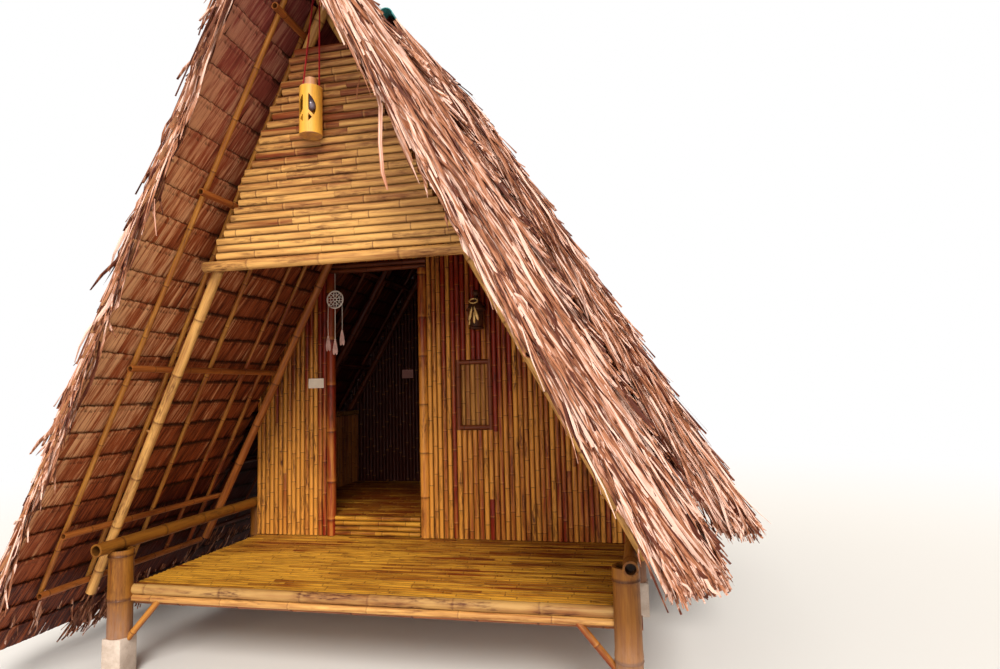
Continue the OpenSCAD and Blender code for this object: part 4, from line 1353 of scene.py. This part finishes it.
def thatch_core(roof, side, inner, outer, start, end):
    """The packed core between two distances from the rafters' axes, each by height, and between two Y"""
    top, eave = roof.ridge - 0.03, eaves[side] + 0.03
    fall = roof.ridge - eaves[side]
    steps = [roof.ridge - fall * (i + j) / course_count for i in range(course_count) for j in (0.01, 0.99)]
    rows = [(z, outer(z)) for z in np.clip(steps, eave, top)]
    rows += [(z, inner(z)) for z in np.linspace(eave, roof.crossing + inner(top) / math.cos(roof.pitch), 14)]
    bm = bmesh.new()
    front = []
    for z, w in rows:
        x = ridge_x + side * max(0.0, roof.reach(z, w))
        front.append(bm.verts.new((x, front_y + start(z, w), z)))
    back = [bm.verts.new((v.co.x, front_y + end, v.co.z)) for v in front]
    for a, b, c, d in zip(front, front[1:] + front[:1], back[1:] + back[:1], back):
        bm.faces.new((a, b, c, d))
    bm.faces.new(front)
    bm.faces.new(back)
    bmesh.ops.remove_doubles(bm, verts=bm.verts, dist=1e-4)
    bmesh.ops.triangulate(bm, faces=[f for f in bm.faces if len(f.verts) > 4])
    bmesh.ops.recalc_face_normals(bm, faces=bm.faces)
    return shape_of(bm)


def make_blades(dice, droop=0.0):
    """Ten folded blades and four plain ones"""
    folded = [blade(dice, droop=droop) for _ in range(10)]
    return folded + [blade(dice, steps=5, halves=1, fold=0.0, droop=droop) for _ in range(4)]


def porch_strands(name, side):
    """Outside of one porch slope"""
    roof, dice = porch_roof, dice_for(name)
    blades = make_blades(dice)

    def outer(z):
        return roof.surface(z, eaves[side])

    core = thatch_core(
        roof, side, lambda z: core_inner, lambda z: outer(z) - core_cover,
        lambda z, w: roof.front(z, w + 0.02) + 0.03, roof.back - 0.02)
    bundle = Bundle()
    # The core gets the darkest tone: painted shade inside the thatch
    bundle.add(core, Matrix.Identity(4), -0.1, 0)
    slope_strands(bundle, blades, roof, side, 3600, dice, seed=1.0 + side)
    # The left verge lies a little deeper, and is darker, finer and calmer
    sink, tone, widths, wander = 0.0, 0.54, (0.008, 0.021), 6.0
    if side < 0:
        sink, tone, widths, wander = 0.014, 0.38, (0.006, 0.015), 2.5
    verge_strands(
        bundle, blades, roof, side, 1150, dice, lambda z: roof.nose - 0.01 + 0 * z,
        lambda z: outer(z) - 0.012, facing=1.1, tone=tone, lengths=(0.35, 0.85), widths=widths,
        wander=wander, sink=sink)
    verge_strands(
        bundle, blades, roof, side, 360, dice, lambda z: thatch_inner + 0 * z, lambda z: roof.nose + 0 * z,
        facing=0.1, tone=tone + 0.06, lengths=(0.20, 0.60), widths=(0.010, 0.026), wander=2.0, sink=0.004)
    eave_strands(bundle, blades, roof, side, 420, dice)
    if side < 0:
        hem_strands(bundle, blades, roof, side, 130, dice, start=0.1)
    bundle.piece(name, palm_out, [name.replace("strands", "thatch")])


def main_strands(name, side):
    """Outside of one main slope, which laps over the porch thatch in front"""
    roof, dice = main_roof, dice_for(name)
    blades = make_blades(dice)

    def outer(z):
        return roof.surface(z, eaves[side])

    def lap(z):
        return lap_inner(z, side)

    bundle = Bundle()
    core = thatch_core(
        roof, side, lambda z: core_inner, lambda z: outer(z) - core_cover,
        lambda z, w: main_core_front, roof.back - 0.03)
    # The core gets the darkest tone: painted shade inside the thatch
    bundle.add(core, Matrix.Identity(4), -0.1, 0)
    apron = thatch_core(
        roof, side, lambda z: min(lap(z) + apron_gap, outer(z) - apron_inner),
        lambda z: outer(z) - apron_cover, lambda z, w: apron_front, apron_back)
    # The apron too gets the darkest tone: painted shade inside the thatch
    bundle.add(apron, Matrix.Identity(4), -0.1, 0)
    slope_strands(bundle, blades, roof, side, 7600, dice, seed=1.0 + side)
    verge_strands(
        bundle, blades, roof, side, 800, dice, lambda z: lap(z) + apron_gap, lambda z: outer(z) - 0.006,
        facing=0.3, tone=0.60, lengths=(0.35, 0.85), widths=(0.008, 0.020), wander=4.0, sink=0.0)
    rear_strands(bundle, blades, roof, side, 450, dice)
    eave_strands(bundle, blades, roof, side, 500, dice)
    if side < 0:
        hem_strands(bundle, blades, roof, side, 260, dice, start=roof.verge)
    bundle.piece(name, palm_out, [name.replace("strands", "thatch")])


def underside_leaf(dice, band):
    """A leaf strip of unit length and width, folded over the course's stick at its top, with a stitch

    A band under the fold lies in the shade of the next course.
    """
    bm = bmesh.new()
    bmesh.ops.create_grid(bm, x_segments=5, y_segments=2, size=0.5)
    shade = mark_layers(bm)[1]
    bow, sway = dice.uniform(-0.003, 0.003), dice.uniform(-0.2, 0.2)
    stitch = dice.uniform(0.15, 0.8)
    rows = ((0.010, -0.006, 0.9), (band, 0, 0.7 * (band > 0.04)), (band + 0.04, 0, 0), (0.17, 0, stitch),
            (0.20, 0, 0), (1, 0, 0))
    for vert in bm.verts:
        t, roll, dark = rows[round((vert.co.x + 0.5) * 5)]
        half = 2 * vert.co.y
        vert[shade] = dark if t < 0.15 else dark * (1 - abs(half))
        vert.co = (t, 0.5 * half + sway * t, roll + bow * math.sin(math.pi * t) - 0.002 * abs(half))
    return shape_of(bm)


def underside(name, roof, side, start, back, step, foot):
    """Courses of folded leaf strips seen from below, each hanging behind the top of the next one"""
    dice = dice_for(name)
    course = 0.150
    near = [underside_leaf(dice, 0.035) for _ in range(5)]
    deep = [underside_leaf(dice, 0.075) for _ in range(5)]
    top = roof.crossing + thatch_inner / math.cos(roof.pitch) - 0.01
    bundle = Bundle()
    for z_top in np.arange(top, foot + 0.06, -course * math.sin(roof.pitch)):
        y = np.arange(start(z_top) + 0.004, back, step)
        count = len(y)
        inward = np.clip((y - y[0]) / 1.5, 0, 1)
        y = y + dice.uniform(-0.12, 0.12, count) * step
        z = z_top + 0.006 * np.sin(2.3 * y + z_top * 9) + 0.003 * np.sin(11 * y + z_top)
        z += dice.uniform(-0.002, 0.002, count)
        length = np.minimum(dice.uniform(0.19, 0.21, count), (z - foot) / math.sin(roof.pitch))
        width = step * dice.uniform(1.35, 1.7, count)
        yaw = np.radians(side * 5 + dice.normal(0, 1.2, count))
        lift = -0.10 + dice.normal(0, 0.005, count)
        low = min(1.0, max(0.0, (1.5 - z_top) / 0.9))
        # Leaves are paler near the verge, and darker inward and low down: painted shade under the roof
        tone = 0.96 - 0.64 * inward ** 0.5 - 0.48 * low
        tone += dice.normal(0, 0.09, count) + 0.05 * math.sin(z_top * 17)
        # Over the room the leaves are darker: painted shade inside the room
        tone -= 0.35 * (y > wall_front)
        away = thatch_inner + 0.001 + dice.uniform(0, 0.003, count)
        # The first leaves of a course are pale, and folded along the verge
        yaw[:3] = 0
        tone[:3] += 0.22
        places = blade_places(
            roof.point(side, z, y, away), roof.down(side), -roof.out(side), yaw, lift, length, width)
        inner = y > y[0] + 0.45
        scatter(bundle, near, places[~inner], tone[~inner], dice)
        scatter(bundle, deep, places[inner], tone[inner], dice)
    bundle.piece(name, palm_in)


def loose_leaf(bundle, line, width, tone, dice):
    """A leaf that hangs off the verge along given points, as a folded ribbon"""
    bm = bmesh.new()
    bmesh.ops.create_grid(bm, x_segments=len(line) - 1, y_segments=2, size=0.5)
    for vert in bm.verts:
        t, half = vert.co.x + 0.5, 2 * vert.co.y
        index = round(t * (len(line) - 1))
        wide = width * (0.5 if index in (0, len(line) - 1) else 1.0)
        vert.co = line[index] + Vector((0.5 * wide * half, -0.006 * abs(half), 0))
    bmesh.ops.recalc_face_normals(bm, faces=bm.faces)
    bundle.add(shape_of(bm), Matrix.Identity(4), tone, dice.uniform(0, 90))


def build_loose_leaves():
    """Three leaves that hang off the porch's front verge"""
    dice = dice_for("loose_leaves")
    bundle = Bundle()
    long_leaf = [(0.430, 3.02), (0.455, 2.928), (0.478, 2.82), (0.474, 2.658), (0.484, 2.522), (0.506, 2.445)]
    fine_leaf = [(0.384, 2.974), (0.370, 2.92), (0.365, 2.871)]
    left_leaf = [(-0.64, 2.50), (-0.638, 2.42), (-0.626, 2.323)]
    leaves = ((long_leaf, -0.72, 0.020, 0.50), (fine_leaf, -0.72, 0.007, 0.6), (left_leaf, -0.75, 0.008, 0.7))
    for line, y, width, tone in leaves:
        loose_leaf(bundle, [spot(x, y, z) for x, z in line], width, tone, dice)
    bundle.piece("loose_leaves", palm_out)


# How far the inner leaves hang below the eave, in the porch and in the main roof
hems = {-1: (0.04, 0.11), 1: (0.01, 0.01)}
for thatch_side, word in ((-1, "left"), (1, "right")):
    porch_strands(f"porch_strands_{word}", thatch_side)
    main_strands(f"main_strands_{word}", thatch_side)
    porch_foot, main_foot = (eaves[thatch_side] - hem for hem in hems[thatch_side])
    underside(
        f"porch_underside_{word}", porch_roof, thatch_side, porch_roof.front, porch_leaves_back,
        step=0.020, foot=porch_foot)
    underside(
        f"main_underside_{word}", main_roof, thatch_side, lambda z: main_leaves_front, main_roof.back,
        step=0.036, foot=main_foot)
build_loose_leaves()


# Fittings
def drop_shape(length, width, thick):
    """A rounded petal that hangs down from its narrow end"""
    bm = bmesh.new()
    bmesh.ops.create_uvsphere(bm, u_segments=12, v_segments=8, radius=1.0)
    for vert in bm.verts:
        t = (1 - vert.co.z) / 2
        narrow = 0.45 + 0.55 * t
        vert.co = (0.5 * width * narrow * vert.co.x, 0.5 * thick * vert.co.y, -length * t)
    return shape_of(bm)


def torus(radius, thick, around=32, sides=8, squash=1.0):
    """A ring in the XZ plane, squashed on Z"""
    bm = bmesh.new()
    bmesh.ops.create_circle(
        bm, segments=sides, radius=thick / 2,
        matrix=Matrix.Translation((radius, 0, 0)) @ Matrix.Rotation(math.radians(90), 4, "X"))
    bmesh.ops.spin(
        bm, geom=bm.verts[:] + bm.edges[:], cent=(0, 0, 0), axis=(0, 0, 1), dvec=(0, 0, 0),
        angle=2 * math.pi, steps=around, use_merge=True)
    bmesh.ops.remove_doubles(bm, verts=bm.verts, dist=1e-6)
    for vert in bm.verts:
        x, y, z = vert.co
        vert.co = (x, z, squash * y)
    bmesh.ops.recalc_face_normals(bm, faces=bm.faces)
    return shape_of(bm)


def thread(line, thick, sides=6):
    """A thread through some points"""
    bm = bmesh.new()
    rings = []
    for i, point in enumerate(line):
        ahead = Vector(line[min(i + 1, len(line) - 1)]) - Vector(line[max(i - 1, 0)])
        place = lay(point, Vector(point) + ahead, (0.3, 1, 0.2))
        rings.append([
            bm.verts.new(place @ Vector((0.5 * thick * math.cos(a), 0.5 * thick * math.sin(a), 0)))
            for a in np.linspace(0, 2 * math.pi, sides, endpoint=False)
        ])
    for lower, upper in zip(rings, rings[1:]):
        for i in range(sides):
            bm.faces.new((lower[i], lower[(i + 1) % sides], upper[(i + 1) % sides], upper[i]))
    bm.faces.new(rings[0])
    bm.faces.new(rings[-1])
    bmesh.ops.recalc_face_normals(bm, faces=bm.faces)
    return shape_of(bm)


def build_wall_lantern():
    """Brass ring and petals on the front of the wall lantern"""
    low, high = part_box("wall_lantern")
    from_wall = 0.080
    x, y, foot = (low.x + high.x) / 2, high.y - from_wall, low.z
    dice = dice_for("wall_lantern_brass")
    bundle = Bundle()
    ring_place = Matrix.Translation((x - 0.006, y - 0.054, foot + 0.198)) @ Matrix.Rotation(-0.45, 4, "X")
    bundle.add(torus(0.030, 0.011, squash=0.62), ring_place, 0.5, 0)
    # Each petal is its X, how far it stands before the axis, its height, length, width and lean
    petals = [
        (-0.011, 0.078, 0.152, 0.098, 0.026, 0.23), (0.004, 0.079, 0.156, 0.106, 0.028, -0.28),
        (-0.001, 0.060, 0.123, 0.088, 0.026, 0.0), (-0.040, 0.036, 0.065, 0.038, 0.018, 0.1),
    ]
    for across, before, height, length, width, lean in petals:
        place = Matrix.Translation((x + across, y - before, foot + height)) @ Matrix.Rotation(lean, 4, "Y")
        bundle.add(drop_shape(length, width, 0.010), place, 0.5, dice.uniform(0, 90))
    bundle.piece("wall_lantern_brass", brass, sharp=60)


def build_bulb():
    """Grey bulb inside the bamboo lantern"""
    low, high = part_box("lantern_body")
    middle = (low + high) / 2
    bulb_rise = 0.133
    line = [(0.0, 0.0), (0.012, 0.002), (0.022, 0.010), (0.027, 0.024), (0.025, 0.040), (0.017, 0.056),
            (0.014, 0.070), (0.014, 0.105), (0.0, 0.105)]
    bundle = Bundle()
    shape = shape_of(spun([(radius, height, 0, 0) for radius, height in line], 16))
    bundle.add(shape, Matrix.Translation((middle.x, middle.y, low.z + bulb_rise)), 0.5, 0)
    bundle.piece("lantern_bulb", bulb_glass)


def build_catcher():
    """Wrapped ring, petalled web, and three tails with beads and feathers"""
    low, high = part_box("dream_catcher")
    radius, web_radius, hub_radius = 0.066, 0.038, 0.013
    x, y, z = (low.x + high.x) / 2, (low.y + high.y) / 2, deck_z + 1.791
    flat = Matrix.Rotation(math.radians(90), 4, "X")
    still = Matrix.Identity(4)
    centre = Matrix.Translation((x, y, z))
    threads = Bundle()
    threads.add(torus(radius, 0.011, around=48), centre, 0.5, 0)
    threads.add(torus(hub_radius, 0.008, around=16, sides=6), centre, 0.5, 0)
    threads.add(torus(web_radius, 0.005, sides=6), centre, 0.5, 0)
    ring = [(x + radius * math.cos(a), y, z + radius * math.sin(a)) for a in np.linspace(0, 2 * math.pi, 49)]
    wrap = torus(0.0052, 0.0022, around=10, sides=5)
    for start, end in zip(ring[::2], ring[1::2]):
        threads.add(wrap, lay(start, end, (0, 1, 0)) @ flat, 0.5, 0)
    for i in range(8):
        petal = []
        for t in np.linspace(0, 1, 9):
            reach = hub_radius + 0.050 * math.sin(math.pi * t)
            turn = i * math.pi / 4 + (t - 0.5) * 0.95
            petal.append((x + reach * math.cos(turn), y, z + reach * math.sin(turn)))
        threads.add(thread(petal, 0.0065, sides=5), still, 0.5, 0)
    threads.add(thread([(x, y, z + radius), (x, y, high.z)], 0.004), still, 0.5, 0)
    feathers = Bundle()
    bead = torus(0.004, 0.006, around=12, sides=6)
    # Each tail is its X, and how far below the ring's centre it ends and starts
    tails = ((-0.058, 0.300, 0.030), (0.0, 0.330, 0.062), (0.058, 0.260, 0.030))
    for across, length, start in tails:
        foot = z - length
        middle = (x + 1.03 * across, y, (z - start + foot) / 2)
        tail = [(x + across, y, z - start), middle, (x + across, y, foot)]
        threads.add(thread(tail, 0.005), still, 0.5, 0)
        for height in (0.006, 0.018):
            threads.add(bead, Matrix.Translation((x + across, y, foot + height)) @ flat, 0.5, 0)
        for lean in (-0.10, 0.08):
            place = Matrix.Translation((x + across, y - 0.003, foot + 0.030)) @ Matrix.Rotation(lean, 4, "Y")
            feathers.add(drop_shape(0.130, 0.032, 0.003), place, 0.5, 0)
    threads.piece("catcher_threads", thread_white, ["dream_catcher"], sharp=60)
    feathers.piece("catcher_feathers", feather_pink, sharp=60)


build_wall_lantern()
build_bulb()
build_catcher()


# Floor, backdrop and lights
def seen_directly(w):
    """1 for rays that come from the camera, straight or through a reflection or glass"""
    path = w.tree.nodes.new("ShaderNodeLightPath")
    seen = w.math("MAXIMUM", path.outputs["Is Camera Ray"], path.outputs["Is Glossy Ray"])
    return w.math("MAXIMUM", seen, path.outputs["Is Transmission Ray"])


def make_floor():
    """Plain pale floor that fades into the white backdrop"""
    bm = bmesh.new()
    bmesh.ops.create_circle(bm, cap_ends=True, segments=96, radius=60)
    mesh = bpy.data.meshes.new("floor")
    bm.to_mesh(mesh)
    bm.free()
    floor = bpy.data.objects.new("floor", mesh)
    bpy.context.scene.collection.objects.link(floor)
    material = bpy.data.materials.new("floor")
    material.use_nodes = True
    tree = material.node_tree
    w = Wires(tree)
    shader = tree.nodes["Principled BSDF"]
    shader.inputs["Base Color"].default_value = rgba(0.78, 0.77, 0.75)
    shader.inputs["Roughness"].default_value = 0.9
    white = tree.nodes.new("ShaderNodeEmission")
    white.inputs["Color"].default_value = rgba(1, 1, 1)
    distance = tree.nodes.new("ShaderNodeVectorMath")
    distance.operation = "LENGTH"
    tree.links.new(w.place(), distance.inputs[0])
    far = w.span(distance.outputs["Value"], 4.0, 12.0)
    blend = tree.nodes.new("ShaderNodeMixShader")
    tree.links.new(w.math("MULTIPLY", far, seen_directly(w)), blend.inputs[0])
    tree.links.new(shader.outputs[0], blend.inputs[1])
    tree.links.new(white.outputs[0], blend.inputs[2])
    tree.links.new(blend.outputs[0], tree.nodes["Material Output"].inputs["Surface"])
    mesh.materials.append(material)


def make_world():
    """Soft light from all sides, white where it is seen directly"""
    world = bpy.data.worlds.new("studio")
    world.use_nodes = True
    tree = world.node_tree
    w = Wires(tree)
    ambient = tree.nodes["Background"]
    ambient.inputs["Color"].default_value = rgba(1.0, 0.93, 0.86)
    ambient.inputs["Strength"].default_value = 0.50
    white = tree.nodes.new("ShaderNodeBackground")
    white.inputs["Color"].default_value = rgba(1, 1, 1)
    blend = tree.nodes.new("ShaderNodeMixShader")
    tree.links.new(seen_directly(w), blend.inputs[0])
    tree.links.new(ambient.outputs[0], blend.inputs[1])
    tree.links.new(white.outputs[0], blend.inputs[2])
    tree.links.new(blend.outputs[0], tree.nodes["World Output"].inputs["Surface"])
    bpy.context.scene.world = world


def add_sun(name, strength, spread, azimuth, elevation):
    """A soft sun that shines from an azimuth, counted from the front to the right, and an elevation"""
    data = bpy.data.lights.new(name, "SUN")
    data.energy = strength
    data.angle = math.radians(spread)
    data.color = (1.0, 0.96, 0.90)
    sun = bpy.data.objects.new(name, data)
    bpy.context.scene.collection.objects.link(sun)
    a, e = math.radians(azimuth), math.radians(elevation)
    toward = Vector((math.sin(a) * math.cos(e), -math.cos(a) * math.cos(e), math.sin(e)))
    sun.rotation_euler = toward.to_track_quat("Z", "Y").to_euler()


make_floor()
make_world()
add_sun("key", strength=3.0, spread=25, azimuth=22, elevation=38)
add_sun("fill", strength=0.8, spread=60, azimuth=-60, elevation=30)
add_sun("front", strength=1.5, spread=50, azimuth=8, elevation=12)
bpy.context.scene.view_settings.view_transform = "Standard"
